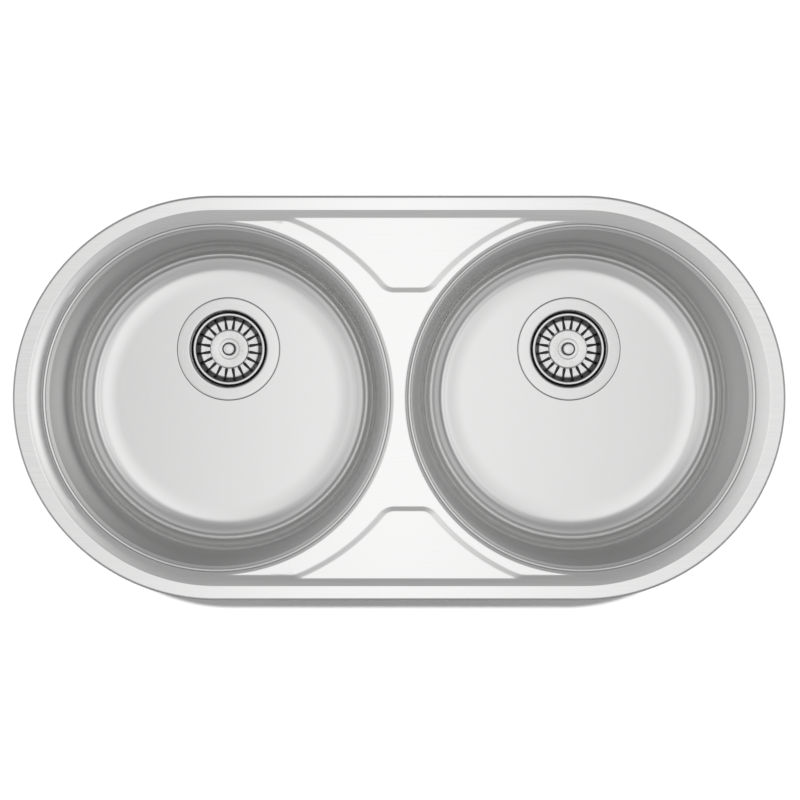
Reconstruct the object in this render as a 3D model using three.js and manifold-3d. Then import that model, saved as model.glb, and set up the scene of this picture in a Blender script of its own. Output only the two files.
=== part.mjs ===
// Double round bowl inset kitchen sink, in millimetres.
// X runs along the sink, +Y to the rear, +Z up. The origin is the middle of the worktop cut-out,
// on the worktop's top face.
import * as THREE from 'three';
import { mergeVertices } from 'three/addons/utils/BufferGeometryUtils.js';
import Module from 'manifold-3d';

const wasm = await Module();
wasm.setup();

// Whole sink
const RIM_WIDTH = 440;
const SHEET = 0.8;
const GAP = 0.3;
const RIM_OVERHANG = 10;

// Pressed deck: heights of its faces above the worktop, and the plan widths of its bands
const RIM_LEVEL = 5;
const LAND_LEVEL = 2.1;
const DECK_LEVEL = 0.6;
const RIM_BAND = 15;
const RIM_EDGE_RADIUS = 2.5;
const RIM_SLOPE = 7.4;
const DECK_LEDGE = 3.6;

// Bowls and the collars that they are welded to
const BOWL_BRIDGE = 26;
const BOWL_INBOARD = 1;
const BOWL_DEPTH = 150;
const COLLAR_DEPTH = 22;
const LIP_ROLL = 8;
const SEAM_LAP = 5;
const WALL_TAPER = 8.5;
const FLOOR_FILLET = 30;

// Raised lands, front and rear: sides are arcs hollowed round the bowls
const LAND_SHIFT = 9.5;
const LAND_INNER_EDGE = 119.5;
const LAND_SIDE_MARGIN = 48.4;
const LAND_SIDE_OUTBOARD = 10;
const LAND_SIDE_SETBACK = 24.3;
const LAND_CORNER_RADIUS = 18;
const LAND_SLOPE = 4;
const LAND_TUCK = 2;

// Waste hole: its place in the bowl, and the pressed recess that the flange lies in
const WASTE_INBOARD = 2;
const WASTE_MARGIN = 24.7;
const RECESS_CLEARANCE = 1.3;
const RECESS_SLOPE = 1.5;
const WASTE_HOLE_CLEARANCE = 0.2;

// Strainer flange and cup, one pressing
const FLANGE_RADIUS = 59.2;
const FLANGE_SHEET = 0.9;
const FLANGE_PROUD = 0.3;
const FLANGE_GASKET = 0.8;
const FLANGE_GASKET_INSET = 2.2;
const CUP_ROOM = 3.5;
const CUP_ROLL = 1.6;
const CUP_WALL_LEAN = 0.8;
const LEDGE_DEPTH = 9.1;
const LEDGE_WIDTH = 1.3;
const CUP_WALL_DRAFT = 1.6;
const CUP_SEAT_DROP = 7.5;
const CUP_SEAT_WIDTH = 5;
const CUP_HOLE_COUNT = 6;
const CUP_HOLE_RADIUS = 6.5;
const CUP_HOLE_CIRCLE = 20;

// Strainer basket, with its knob, pin and rubber plug
const BASKET_SHEET = 0.8;
const BASKET_RIM_RADIUS = 40.9;
const BASKET_RIM_WIDTH = 2.5;
const BASKET_WALL_DRAFT = 4.8;
const BASKET_TROUGH_DEPTH = 20.5;
const BASKET_CROWN_RADIUS = 21.7;
const BASKET_CROWN_DEPTH = 13;
const BASKET_CROWN_LEAN = 0.6;
const BASKET_DISH_RADIUS = 11.9;
const BASKET_DISH_DROP = 0.8;
const SLOT_COUNT = 20;
const SLOT_INNER_WIDTH = 2.6;
const SLOT_OUTER_WIDTH = 1.2;
const SLOT_TOP_DEPTH = 11;
const KNOB_RADIUS = 7.7;
const KNOB_NECK_RADIUS = 3.4;
const KNOB_TOP_DEPTH = 3.5;
const KNOB_HEAD = 4;
const KNOB_CHAMFER = 1;
const PIN_RADIUS = 1.8;
const PIN_HEAD_RADIUS = 5;
const PIN_HEAD = 1.2;
const PLUG_THICKNESS = 3;
const PLUG_SEAT_LAP = 0.6;
const PLUG_ROOM = 0.5;

// Waste body under the bowl
const WASTE_GASKET = 3;
const BODY_WALL = 2.6;
const BODY_FLANGE_WIDTH = 10.5;
const BODY_FLANGE = 3.6;
const BODY_CUP_CLEARANCE = 1.2;
const BODY_WAIST_CLEARANCE = 3.1;
const BODY_WAIST_DROP = 4.6;
const BODY_CONE = 12;
const OUTLET_BORE_RADIUS = 19.5;
const OUTLET_WALL = 4.4;
const OUTLET_LENGTH = 27;
const BOSS_RADIUS = 7;
const BOSS_DROP = 3;
const SPOKE = 2.6;
const SPOKE_SINK = 1;
const WASTE_SCREW_RADIUS = 2.9;
const WASTE_SCREW_HEAD_RADIUS = 5.5;
const WASTE_SCREW_HEAD = 3;
const WASTE_SCREW_SHORT = 2;

// Rim seal and sound pads
const SEAL_INSET = 3.2;
const SEAL_WIDTH = 5.8;
const PAD_THICKNESS = 2.5;
const PAD_REAR_MARGIN = 7;
const PAD_FRONT_MARGIN = 26.7;

// Fixing clips: places round the cut-out, and sizes
const CLIP_STRAIGHT_X = 150;
const CLIP_END_ANGLE = 35;
const CLIP_AXIS_INBOARD = 6.5;
const BRACKET_STRIP = 1.5;
const BRACKET_WIDTH = 16;
const BRACKET_FOOT = 3.5;
const BRACKET_SHELF_INBOARD = 1.5;
const BRACKET_SHELF_DROP = 15;
const CLIP_SCREW_RADIUS = 2.5;
const CLIP_SCREW_PROUD = 2;
const CLIP_SCREW_HEAD_RADIUS = 4.6;
const CLIP_SCREW_HEAD = 3.4;
const CLIP_WASHER_RADIUS = 5.5;
const CLIP_WASHER = 1;
const CLAW_STRIP = 2;
const CLAW_WIDTH = 14;
const CLAW_HEEL = 5.5;
const CLAW_REACH = 14;
const CLAW_LIP = 3;
const CLAW_NOTCH = 6;
const CLAW_DROP = 42;

// Facets, and how far a cutter runs past the face that it cuts
const END_SEGMENTS = 16;
const BOWL_SEGMENTS = 32;
const CUP_SEGMENTS = 24;
const BASKET_SEGMENTS = 2 * SLOT_COUNT;
const BODY_SEGMENTS = 20;
const KNOB_SEGMENTS = 12;
const SCREW_SEGMENTS = 8;
const HEX_SIDES = 6;
const LAND_SIDE_STEPS = 6;
const CORNER_STEPS = 3;
const ROLL_STEPS = 3;
const EDGE_STEPS = 2;
const FILLET_STEPS = 3;
const OVERCUT = 1;

// Places in the sink, worked out from the sizes above
const RIM_RADIUS = RIM_WIDTH / 2;
const LIP_START = RIM_BAND + RIM_SLOPE + DECK_LEDGE;
const COLLAR_RADIUS = RIM_RADIUS - LIP_START - LIP_ROLL;
const BOWL_SPACING = 2 * COLLAR_RADIUS + BOWL_BRIDGE;
const END_REACH = BOWL_SPACING / 2 + BOWL_INBOARD;
const FLOOR = RIM_LEVEL - BOWL_DEPTH;
const COLLAR_END = RIM_LEVEL - COLLAR_DEPTH;
const LEAN = THREE.MathUtils.degToRad(WALL_TAPER);

// Radii and heights of the waste, round the axis of the waste hole and from the bowl's floor
const RECESS_RADIUS = FLANGE_RADIUS + RECESS_CLEARANCE;
const RECESS_DEPTH = FLANGE_SHEET - FLANGE_PROUD + FLANGE_GASKET + 2 * GAP;
const CUP_RADIUS = BASKET_RIM_RADIUS + CUP_ROOM;
const WASTE_HOLE_RADIUS = CUP_RADIUS + FLANGE_SHEET + WASTE_HOLE_CLEARANCE;
const LEDGE_INNER_RADIUS = BASKET_RIM_RADIUS - LEDGE_WIDTH;
const CUP_SEAT_RADIUS = LEDGE_INNER_RADIUS - CUP_WALL_DRAFT;
const CUP_BASE_RADIUS = CUP_SEAT_RADIUS - CUP_SEAT_WIDTH;
const BASKET_MOUTH_RADIUS = BASKET_RIM_RADIUS - BASKET_RIM_WIDTH;
const BASKET_TROUGH_RADIUS = BASKET_MOUTH_RADIUS - BASKET_WALL_DRAFT;
const BASKET_RIM_FACE = -LEDGE_DEPTH + GAP + BASKET_SHEET;
const BASKET_DISH_FACE = -BASKET_CROWN_DEPTH - BASKET_DISH_DROP;
const PLUG_TOP = -BASKET_TROUGH_DEPTH - BASKET_SHEET - GAP;
const PLUG_UNDERSIDE = PLUG_TOP - PLUG_THICKNESS;
const CUP_SEAT = PLUG_UNDERSIDE + PLUG_SEAT_LAP;
const CUP_BASE = CUP_SEAT - CUP_SEAT_DROP;
const CUP_BASE_UNDERSIDE = CUP_BASE - FLANGE_SHEET;
const BOWL_UNDERSIDE = -RECESS_DEPTH - SHEET;
const BODY_TOP = BOWL_UNDERSIDE - GAP - WASTE_GASKET - GAP;
const BODY_CUP_RADIUS = CUP_RADIUS + FLANGE_SHEET + BODY_CUP_CLEARANCE;
const BODY_FLANGE_RADIUS = BODY_CUP_RADIUS + BODY_FLANGE_WIDTH;
const BODY_WAIST_RADIUS = CUP_BASE_RADIUS + FLANGE_SHEET + BODY_WAIST_CLEARANCE;
const BODY_WAIST = CUP_BASE_UNDERSIDE - BODY_WAIST_DROP;
const OUTLET_RADIUS = OUTLET_BORE_RADIUS + OUTLET_WALL;
const OUTLET_TOP = BODY_WAIST - BODY_CONE;
const OUTLET_END = OUTLET_TOP - OUTLET_LENGTH;
const BOSS_END = OUTLET_TOP - BOSS_DROP;

// Places in a fixing clip, inboard of the edge of the cut-out and down from the worktop's face
const BRACKET_LEG_INBOARD = LIP_START - RIM_OVERHANG - BRACKET_FOOT;
const CLAW_FACE = -CLAW_DROP - CLAW_LIP;
const CLIP_WASHER_TOP = CLAW_FACE - CLAW_STRIP - GAP;
const CLIP_HEAD_TOP = CLIP_WASHER_TOP - CLIP_WASHER - GAP;

function polar(radius, degrees) {
  const angle = THREE.MathUtils.degToRad(degrees);
  return new THREE.Vector2(radius * Math.cos(angle), radius * Math.sin(angle));
}

function line(...pairs) {
  return pairs.map(([across, up]) => new THREE.Vector2(across, up));
}

function arc(centreAcross, centreUp, radius, fromDegrees, toDegrees, steps) {
  const points = [];
  for (let i = 0; i <= steps; i++) {
    const point = polar(radius, THREE.MathUtils.lerp(fromDegrees, toDegrees, i / steps));
    points.push(point.add(new THREE.Vector2(centreAcross, centreUp)));
  }
  return points;
}

// Moves an open line to its left by a distance, with mitred corners.
function offsetLine(points, distance) {
  const last = points.length - 1;
  return points.map((point, i) => {
    const start = Math.min(Math.max(i - 1, 0), last - 1);
    const end = Math.min(i, last - 1);
    const before = points[start + 1].clone().sub(points[start]).normalize();
    const after = points[end + 1].clone().sub(points[end]).normalize();
    const reach = distance / (1 + before.dot(after));
    const aside = new THREE.Vector2(-before.y - after.y, before.x + after.x);
    return point.clone().add(aside.multiplyScalar(reach));
  });
}

// The closed outline of a sheet of even thickness lying to the left of a line.
function sheetOutline(points, thickness) {
  return [...points, ...offsetLine(points, thickness).reverse()];
}

// A solid from a closed mesh, with its vertices merged and empty triangles left out.
function solidOf(geometry) {
  geometry.deleteAttribute('normal');
  geometry.deleteAttribute('uv');
  const merged = mergeVertices(geometry, 1e-4);
  const index = Array.from(merged.index.array);
  const triVerts = [];
  for (let i = 0; i < index.length; i += 3) {
    const [a, b, c] = index.slice(i, i + 3);
    if (a !== b && b !== c && c !== a) triVerts.push(a, b, c);
  }
  return new wasm.Manifold(new wasm.Mesh({
    numProp: 3,
    vertProperties: Float32Array.from(merged.attributes.position.array),
    triVerts: Uint32Array.from(triVerts),
  }));
}

function geometryOf(solid) {
  const mesh = solid.getMesh();
  const geometry = new THREE.BufferGeometry();
  geometry.setAttribute('position', new THREE.BufferAttribute(mesh.vertProperties, 3));
  geometry.setIndex(new THREE.BufferAttribute(mesh.triVerts, 1));
  return geometry;
}

// Revolves an outline about Z. The outline either starts and ends on the axis or closes on itself.
function turned(outline, segments) {
  const points = THREE.ShapeUtils.area(outline) > 0 ? [...outline] : [...outline].reverse();
  const onAxis = points[0].x === 0 && points[points.length - 1].x === 0;
  if (!onAxis) points.push(points[0].clone());
  return solidOf(new THREE.LatheGeometry(points, segments).rotateX(Math.PI / 2));
}

function rod(radius, bottom, top, segments) {
  return turned(line([0, bottom], [radius, bottom], [radius, top], [0, top]), segments);
}

function tube(inner, outer, bottom, top, segments) {
  return turned(line([inner, bottom], [outer, bottom], [outer, top], [inner, top]), segments);
}

// Skins rings of equal length, each counter-clockwise from above, and caps the first and the last.
function loft(rings) {
  const count = rings[0].length;
  const index = [];
  for (let r = 0; r < rings.length - 1; r++) {
    for (let i = 0; i < count; i++) {
      const a = r * count + i;
      const b = r * count + (i + 1) % count;
      index.push(a, b, b + count, a, b + count, a + count);
    }
  }
  const flat = (ring) => THREE.ShapeUtils.triangulateShape(ring.map((p) => new THREE.Vector2(p.x, p.y)), []);
  const top = (rings.length - 1) * count;
  for (const [a, b, c] of flat(rings[0])) index.push(c, b, a);
  for (const [a, b, c] of flat(rings[rings.length - 1])) index.push(top + a, top + b, top + c);
  const geometry = new THREE.BufferGeometry().setFromPoints(rings.flat());
  geometry.setIndex(index);
  return solidOf(geometry);
}

// The sink's outline, drawn in by an inset, as a ring at one height.
function stadium(inset, height) {
  const ring = [];
  for (const side of [1, -1]) {
    for (const point of arc(END_REACH, 0, RIM_RADIUS - inset, -90, 90, END_SEGMENTS)) {
      ring.push(new THREE.Vector3(side * point.x, side * point.y, height));
    }
  }
  return ring;
}

// Everything below one face of the pressed deck: its top face, or its underside when sunk by the sheet.
function belowDeck(sunk, bottom) {
  const edgeCentre = RIM_LEVEL - RIM_EDGE_RADIUS;
  const section = [
    ...line([0, bottom]),
    ...arc(RIM_EDGE_RADIUS, edgeCentre, RIM_EDGE_RADIUS, 180, 90, EDGE_STEPS),
    ...line([RIM_BAND, RIM_LEVEL], [RIM_BAND + RIM_SLOPE, DECK_LEVEL], [LIP_START, DECK_LEVEL]),
  ];
  let solid = loft(offsetLine(section, -sunk).map((point) => stadium(point.x, point.y)));
  for (const end of [1, -1]) solid = solid.add(landBlock(sunk, end));
  for (const side of [1, -1]) {
    solid = solid.subtract(bowlMouth(sunk, bottom).translate([side * BOWL_SPACING / 2, 0, 0]));
  }
  return solid;
}

// Half of a land's outline in plan, grown by a margin: from its rim edge to the middle of its inner edge.
function landSide(margin) {
  const centre = new THREE.Vector2(BOWL_SPACING / 2 + LAND_SIDE_OUTBOARD, -LAND_SIDE_SETBACK);
  const radius = COLLAR_RADIUS + LAND_SIDE_MARGIN - margin;
  const innerEdge = LAND_INNER_EDGE - margin;
  const rimEdge = RIM_RADIUS - RIM_BAND - LAND_TUCK;
  const corner = LAND_CORNER_RADIUS + margin;
  const cornerUp = innerEdge + corner - centre.y;
  const cornerAcross = centre.x - Math.sqrt((radius + corner) ** 2 - cornerUp ** 2);
  const sideStart = 180 - THREE.MathUtils.radToDeg(Math.asin((rimEdge - centre.y) / radius));
  const sideEnd = 180 - THREE.MathUtils.radToDeg(Math.asin(cornerUp / (radius + corner)));
  return [
    ...arc(centre.x, centre.y, radius, sideStart, sideEnd, LAND_SIDE_STEPS),
    ...arc(cornerAcross, innerEdge + corner, corner, sideEnd - 180, -90, CORNER_STEPS).slice(1),
  ];
}

// A raised land, from below the deck's face up to the land's own face. End is 1 at the rear, -1 at the front.
function landBlock(sunk, end) {
  const rise = LAND_LEVEL - DECK_LEVEL;
  const lean = sunk * Math.tan(Math.atan(rise / LAND_SLOPE) / 2);
  const ring = (margin, height) => {
    const right = landSide(margin).map((point) => [LAND_SHIFT + point.x, point.y]);
    const left = landSide(margin).map((point) => [LAND_SHIFT - point.x, point.y]);
    const around = [...left, ...right.reverse()];
    const points = around.map(([x, y]) => new THREE.Vector3(x, y * end, height));
    return end > 0 ? points : points.reverse();
  };
  return loft([
    ring(LAND_SLOPE / 2 - lean, DECK_LEVEL - sunk - rise),
    ring(LAND_SLOPE / 2 - lean, DECK_LEVEL - sunk),
    ring(-LAND_SLOPE / 2 - lean, LAND_LEVEL - sunk),
  ]);
}

function collarRadius(height) {
  return COLLAR_RADIUS - (DECK_LEVEL - LIP_ROLL - height) * Math.tan(LEAN);
}

// The space inside a collar and its rolled lip, widened by the sheet when sunk.
function bowlMouth(sunk, bottom) {
  const rollCentre = DECK_LEVEL - LIP_ROLL;
  const widened = sunk / Math.cos(LEAN);
  const below = bottom - OVERCUT;
  const above = RIM_LEVEL + OVERCUT;
  return turned([
    ...line([0, below], [collarRadius(below) + widened, below]),
    ...arc(COLLAR_RADIUS + LIP_ROLL, rollCentre, LIP_ROLL - sunk, 180, 90, ROLL_STEPS),
    ...line([COLLAR_RADIUS + LIP_ROLL, above], [0, above]),
  ], BOWL_SEGMENTS);
}

function deckPlate() {
  const below = COLLAR_END - OVERCUT;
  const sheet = belowDeck(0, COLLAR_END).subtract(belowDeck(SHEET, below));
  const outside = loft([stadium(-OVERCUT, below), stadium(-OVERCUT, GAP)]);
  const inside = loft([stadium(SEAL_INSET, below - OVERCUT), stadium(SEAL_INSET, GAP + OVERCUT)]);
  return sheet.subtract(outside.subtract(inside));
}

// The bowl's wall runs down outside the collar, with the same taper.
function wallRadius(height) {
  return collarRadius(height) + (SHEET + GAP) / Math.cos(LEAN);
}

// The flat floor ends where the fillet starts.
function floorRadius() {
  const wallEnd = FLOOR + FLOOR_FILLET * (1 - Math.sin(LEAN));
  return wallRadius(wallEnd) - FLOOR_FILLET * Math.cos(LEAN);
}

// The inner face of a bowl, from its welded edge down the wall and round the fillet to the middle.
function bowlFace() {
  const edge = COLLAR_END + SEAM_LAP;
  return [
    ...line([wallRadius(edge), edge]),
    ...arc(floorRadius(), FLOOR + FLOOR_FILLET, FLOOR_FILLET, -WALL_TAPER, -90, FILLET_STEPS),
    ...line([0, FLOOR]),
  ];
}

// The pressed recess round a waste hole, as the space above its face.
function recessSpace(sunk) {
  const base = FLOOR - RECESS_DEPTH - sunk;
  const rim = RECESS_RADIUS + sunk * Math.tan(Math.atan2(RECESS_DEPTH, RECESS_SLOPE) / 2);
  return turned(line(
    [0, base],
    [rim, base],
    [rim + RECESS_SLOPE, FLOOR - sunk],
    [rim + RECESS_SLOPE, FLOOR + OVERCUT],
    [0, FLOOR + OVERCUT],
  ), CUP_SEGMENTS);
}

// The waste stands to the rear of the bowl's middle. Side is 1 for the right bowl and -1 for the left one.
function wasteRear() {
  return floorRadius() - RECESS_RADIUS - RECESS_SLOPE - WASTE_MARGIN;
}

function wasteOffset(side) {
  return [-side * WASTE_INBOARD, wasteRear(), 0];
}

function bowl(side) {
  const face = bowlFace();
  const back = offsetLine(face, SHEET);
  const edge = face[0].y;
  const filled = (points, top) => turned([...points, ...line([0, top], [points[0].x, top])], BOWL_SEGMENTS);
  const inner = filled(face, edge + OVERCUT).add(recessSpace(0).translate(wasteOffset(side)));
  const outer = filled(back, edge).add(recessSpace(SHEET).translate(wasteOffset(side)));
  const hole = rod(WASTE_HOLE_RADIUS, FLOOR + BOWL_UNDERSIDE - OVERCUT, FLOOR, CUP_SEGMENTS);
  return outer.subtract(inner).subtract(hole.translate(wasteOffset(side)));
}

// The waste pieces stand on the axis of the waste hole, with heights measured from the bowl's floor.

// The radius of the cup's conical seat at a height.
function cupSeatRadius(height) {
  const share = (CUP_SEAT - height) / CUP_SEAT_DROP;
  return THREE.MathUtils.lerp(CUP_SEAT_RADIUS, CUP_BASE_RADIUS, share);
}

function strainerFlange() {
  const face = [
    ...line([FLANGE_RADIUS, FLANGE_PROUD - FLANGE_SHEET], [FLANGE_RADIUS - FLANGE_SHEET, FLANGE_PROUD]),
    ...arc(CUP_RADIUS + CUP_ROLL, FLANGE_PROUD - CUP_ROLL, CUP_ROLL, 90, 180, EDGE_STEPS),
    ...line(
      [CUP_RADIUS - CUP_WALL_LEAN, -LEDGE_DEPTH],
      [LEDGE_INNER_RADIUS, -LEDGE_DEPTH],
      [CUP_SEAT_RADIUS, CUP_SEAT],
      [CUP_BASE_RADIUS, CUP_BASE],
      [WASTE_SCREW_RADIUS + GAP, CUP_BASE],
    ),
  ];
  let pressing = turned(sheetOutline(face, FLANGE_SHEET), CUP_SEGMENTS);
  for (let i = 0; i < CUP_HOLE_COUNT; i++) {
    const place = polar(CUP_HOLE_CIRCLE, 360 * i / CUP_HOLE_COUNT);
    const hole = rod(CUP_HOLE_RADIUS, CUP_BASE_UNDERSIDE - OVERCUT, CUP_BASE + OVERCUT, SCREW_SEGMENTS);
    pressing = pressing.subtract(hole.translate([place.x, place.y, 0]));
  }
  return pressing;
}

function flangeGasket() {
  const base = -RECESS_DEPTH + GAP;
  const outer = FLANGE_RADIUS - FLANGE_GASKET_INSET;
  return tube(BODY_CUP_RADIUS, outer, base, base + FLANGE_GASKET, BODY_SEGMENTS);
}

function wasteGasket() {
  return tube(BODY_CUP_RADIUS, BODY_FLANGE_RADIUS, BODY_TOP + GAP, BOWL_UNDERSIDE - GAP, BODY_SEGMENTS);
}

// The moulded body: a cup that narrows to the outlet, with a boss on four spokes for the screw.
function wasteBody() {
  const shell = turned(line(
    [OUTLET_BORE_RADIUS, OUTLET_END],
    [OUTLET_RADIUS, OUTLET_END],
    [OUTLET_RADIUS, OUTLET_TOP - BODY_WALL],
    [BODY_WAIST_RADIUS + BODY_WALL, BODY_WAIST - BODY_WALL / 2],
    [BODY_CUP_RADIUS + BODY_WALL, BODY_TOP - BODY_FLANGE],
    [BODY_FLANGE_RADIUS, BODY_TOP - BODY_FLANGE],
    [BODY_FLANGE_RADIUS, BODY_TOP],
    [BODY_CUP_RADIUS, BODY_TOP],
    [BODY_WAIST_RADIUS, BODY_WAIST],
    [OUTLET_BORE_RADIUS, OUTLET_TOP],
  ), BODY_SEGMENTS);
  const inWall = BODY_WALL / 2;
  const span = 2 * (BODY_WAIST_RADIUS + inWall);
  const depth = BODY_WAIST - SPOKE_SINK - BOSS_END;
  const spoke = solidOf(new THREE.BoxGeometry(span, SPOKE, depth)).translate([0, 0, BOSS_END + depth / 2]);
  const inside = turned(line(
    [0, BOSS_END],
    [OUTLET_BORE_RADIUS + inWall, BOSS_END],
    [OUTLET_BORE_RADIUS + inWall, OUTLET_TOP],
    [BODY_WAIST_RADIUS + inWall, BODY_WAIST],
    [0, BODY_WAIST],
  ), BODY_SEGMENTS);
  const bossTop = CUP_BASE_UNDERSIDE - GAP;
  const boss = rod(BOSS_RADIUS, BOSS_END, bossTop, KNOB_SEGMENTS);
  const bore = rod(WASTE_SCREW_RADIUS + GAP, BOSS_END - OVERCUT, bossTop + OVERCUT, SCREW_SEGMENTS);
  const spokes = spoke.add(spoke.rotate([0, 0, 90])).intersect(inside);
  return shell.add(spokes).add(boss).subtract(bore);
}

function wasteScrew() {
  const seat = CUP_BASE + GAP;
  const headTop = seat + WASTE_SCREW_HEAD;
  const head = rod(WASTE_SCREW_HEAD_RADIUS, seat, headTop, SCREW_SEGMENTS);
  return head.add(rod(WASTE_SCREW_RADIUS, BOSS_END + WASTE_SCREW_SHORT, headTop, SCREW_SEGMENTS));
}

// A slot runs across the trough and up the wall, and narrows outwards.
function basketSlot() {
  const inner = BASKET_CROWN_RADIUS + 2 * BASKET_CROWN_LEAN;
  const outer = BASKET_RIM_RADIUS;
  const ring = (height) => [
    new THREE.Vector3(inner, -SLOT_INNER_WIDTH / 2, height),
    new THREE.Vector3(outer, -SLOT_OUTER_WIDTH / 2, height),
    new THREE.Vector3(outer, SLOT_OUTER_WIDTH / 2, height),
    new THREE.Vector3(inner, SLOT_INNER_WIDTH / 2, height),
  ];
  return loft([ring(-BASKET_TROUGH_DEPTH - 2 * BASKET_SHEET), ring(-SLOT_TOP_DEPTH)]);
}

function basket() {
  const face = line(
    [BASKET_RIM_RADIUS, BASKET_RIM_FACE],
    [BASKET_MOUTH_RADIUS, BASKET_RIM_FACE],
    [BASKET_TROUGH_RADIUS, -BASKET_TROUGH_DEPTH],
    [BASKET_CROWN_RADIUS + BASKET_CROWN_LEAN, -BASKET_TROUGH_DEPTH],
    [BASKET_CROWN_RADIUS - BASKET_CROWN_LEAN, -BASKET_CROWN_DEPTH],
    [BASKET_DISH_RADIUS, -BASKET_CROWN_DEPTH],
    [BASKET_DISH_RADIUS - BASKET_DISH_DROP, BASKET_DISH_FACE],
    [PIN_RADIUS + GAP, BASKET_DISH_FACE],
  );
  let pressing = turned(sheetOutline(face, BASKET_SHEET), BASKET_SEGMENTS);
  for (let i = 0; i < SLOT_COUNT; i++) {
    const turn = 360 * (i + 0.5) / SLOT_COUNT;
    pressing = pressing.subtract(basketSlot().rotate([0, 0, turn]));
  }
  return pressing;
}

// The knob is bored from below for the pin.
function basketKnob() {
  const foot = BASKET_DISH_FACE + GAP;
  const top = -KNOB_TOP_DEPTH;
  const under = top - KNOB_HEAD;
  const bore = PIN_RADIUS + GAP;
  return turned(line(
    [0, under + GAP],
    [bore, under + GAP],
    [bore, foot],
    [KNOB_NECK_RADIUS, foot],
    [KNOB_NECK_RADIUS, under - KNOB_CHAMFER],
    [KNOB_RADIUS, under + KNOB_CHAMFER],
    [KNOB_RADIUS, top - KNOB_CHAMFER],
    [KNOB_RADIUS - KNOB_CHAMFER, top],
    [0, top],
  ), KNOB_SEGMENTS);
}

function basketPin() {
  const headTop = PLUG_UNDERSIDE - GAP;
  const top = -KNOB_TOP_DEPTH - KNOB_HEAD;
  const head = rod(PIN_HEAD_RADIUS, headTop - PIN_HEAD, headTop, SCREW_SEGMENTS);
  return head.add(rod(PIN_RADIUS, headTop - PIN_HEAD / 2, top, SCREW_SEGMENTS));
}

// The rubber plug under the basket, whose edge matches the cup's conical seat.
function basketSeal() {
  return turned(line(
    [PIN_RADIUS + GAP, PLUG_UNDERSIDE],
    [cupSeatRadius(PLUG_UNDERSIDE) - PLUG_ROOM, PLUG_UNDERSIDE],
    [BASKET_TROUGH_RADIUS, PLUG_TOP],
    [PIN_RADIUS + GAP, PLUG_TOP],
  ), BODY_SEGMENTS);
}

function rimSeal() {
  const top = RIM_LEVEL - SHEET - GAP;
  const outer = loft([stadium(SEAL_INSET, 0), stadium(SEAL_INSET, top)]);
  const inset = SEAL_INSET + SEAL_WIDTH;
  return outer.subtract(loft([stadium(inset, -OVERCUT), stadium(inset, top + OVERCUT)]));
}

// The round pad fills the floor's underside from the waste body's flange to the front fillet.
function soundPad() {
  const rearEdge = wasteRear() - BODY_FLANGE_RADIUS - PAD_REAR_MARGIN;
  const frontEdge = PAD_FRONT_MARGIN - floorRadius();
  const top = FLOOR - SHEET - GAP;
  const pad = rod((rearEdge - frontEdge) / 2, top - PAD_THICKNESS, top, BODY_SEGMENTS);
  return pad.translate([0, (rearEdge + frontEdge) / 2, 0]);
}

// Fixing clips are drawn with X pointing out of the sink from the edge of the worktop cut-out.

// A folded strip: a sheet lying under and behind a line, as wide as the strip.
function foldedStrip(path, thickness, width) {
  const shape = new THREE.Shape(sheetOutline(path, -thickness));
  const geometry = new THREE.ExtrudeGeometry(shape, { depth: width, bevelEnabled: false });
  return solidOf(geometry.translate(0, 0, -width / 2).rotateX(Math.PI / 2));
}

function clipHole() {
  const bottom = CLAW_FACE - CLAW_STRIP - OVERCUT;
  return rod(CLIP_SCREW_RADIUS + GAP, bottom, 0, SCREW_SEGMENTS).translate([-CLIP_AXIS_INBOARD, 0, 0]);
}

function clipBracket() {
  const top = DECK_LEVEL - SHEET - GAP;
  const path = line(
    [-BRACKET_LEG_INBOARD - BRACKET_FOOT, top],
    [-BRACKET_LEG_INBOARD, top],
    [-BRACKET_LEG_INBOARD, -BRACKET_SHELF_DROP],
    [-BRACKET_SHELF_INBOARD, -BRACKET_SHELF_DROP],
  );
  return foldedStrip(path, BRACKET_STRIP, BRACKET_WIDTH).subtract(clipHole());
}

function clipClaw() {
  const lipInner = CLAW_REACH - CLIP_AXIS_INBOARD - CLAW_STRIP;
  const path = line(
    [-CLIP_AXIS_INBOARD - CLAW_HEEL, CLAW_FACE],
    [lipInner, CLAW_FACE],
    [lipInner, -CLAW_DROP],
  );
  const notch = solidOf(new THREE.BoxGeometry(CLAW_STRIP + 2 * OVERCUT, CLAW_NOTCH, CLAW_LIP));
  const strip = foldedStrip(path, CLAW_STRIP, CLAW_WIDTH).subtract(clipHole());
  return strip.subtract(notch.translate([lipInner + CLAW_STRIP / 2, 0, -CLAW_DROP]));
}

function clipWasher() {
  const bore = CLIP_SCREW_RADIUS + GAP;
  return tube(bore, CLIP_WASHER_RADIUS, CLIP_WASHER_TOP - CLIP_WASHER, CLIP_WASHER_TOP, SCREW_SEGMENTS);
}

function clipScrew() {
  const top = CLIP_SCREW_PROUD - BRACKET_SHELF_DROP;
  const headEnd = CLIP_HEAD_TOP - CLIP_SCREW_HEAD;
  const shank = rod(CLIP_SCREW_RADIUS, headEnd, top, SCREW_SEGMENTS);
  return shank.add(rod(CLIP_SCREW_HEAD_RADIUS, headEnd, CLIP_HEAD_TOP, HEX_SIDES));
}

// Materials
function finish(colour, roughness, metalness) {
  return new THREE.MeshStandardMaterial({ color: colour, roughness, metalness });
}
const satinStainless = finish(0xc9cbcd, 0.32, 1);
const polishedStainless = finish(0xd4d6d8, 0.2, 1);
const zincPlatedSteel = finish(0xaab0b4, 0.42, 1);
const blackRubber = finish(0x1d1e20, 0.75, 0);
const greyFoam = finish(0x55585b, 0.9, 0);
const bitumenPad = finish(0x3a3c3e, 0.85, 0);
const whitePolypropylene = finish(0xe4e6e6, 0.45, 0);

function piece(name, solid, material) {
  const mesh = new THREE.Mesh(geometryOf(solid), material);
  mesh.name = name;
  return mesh;
}

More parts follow.
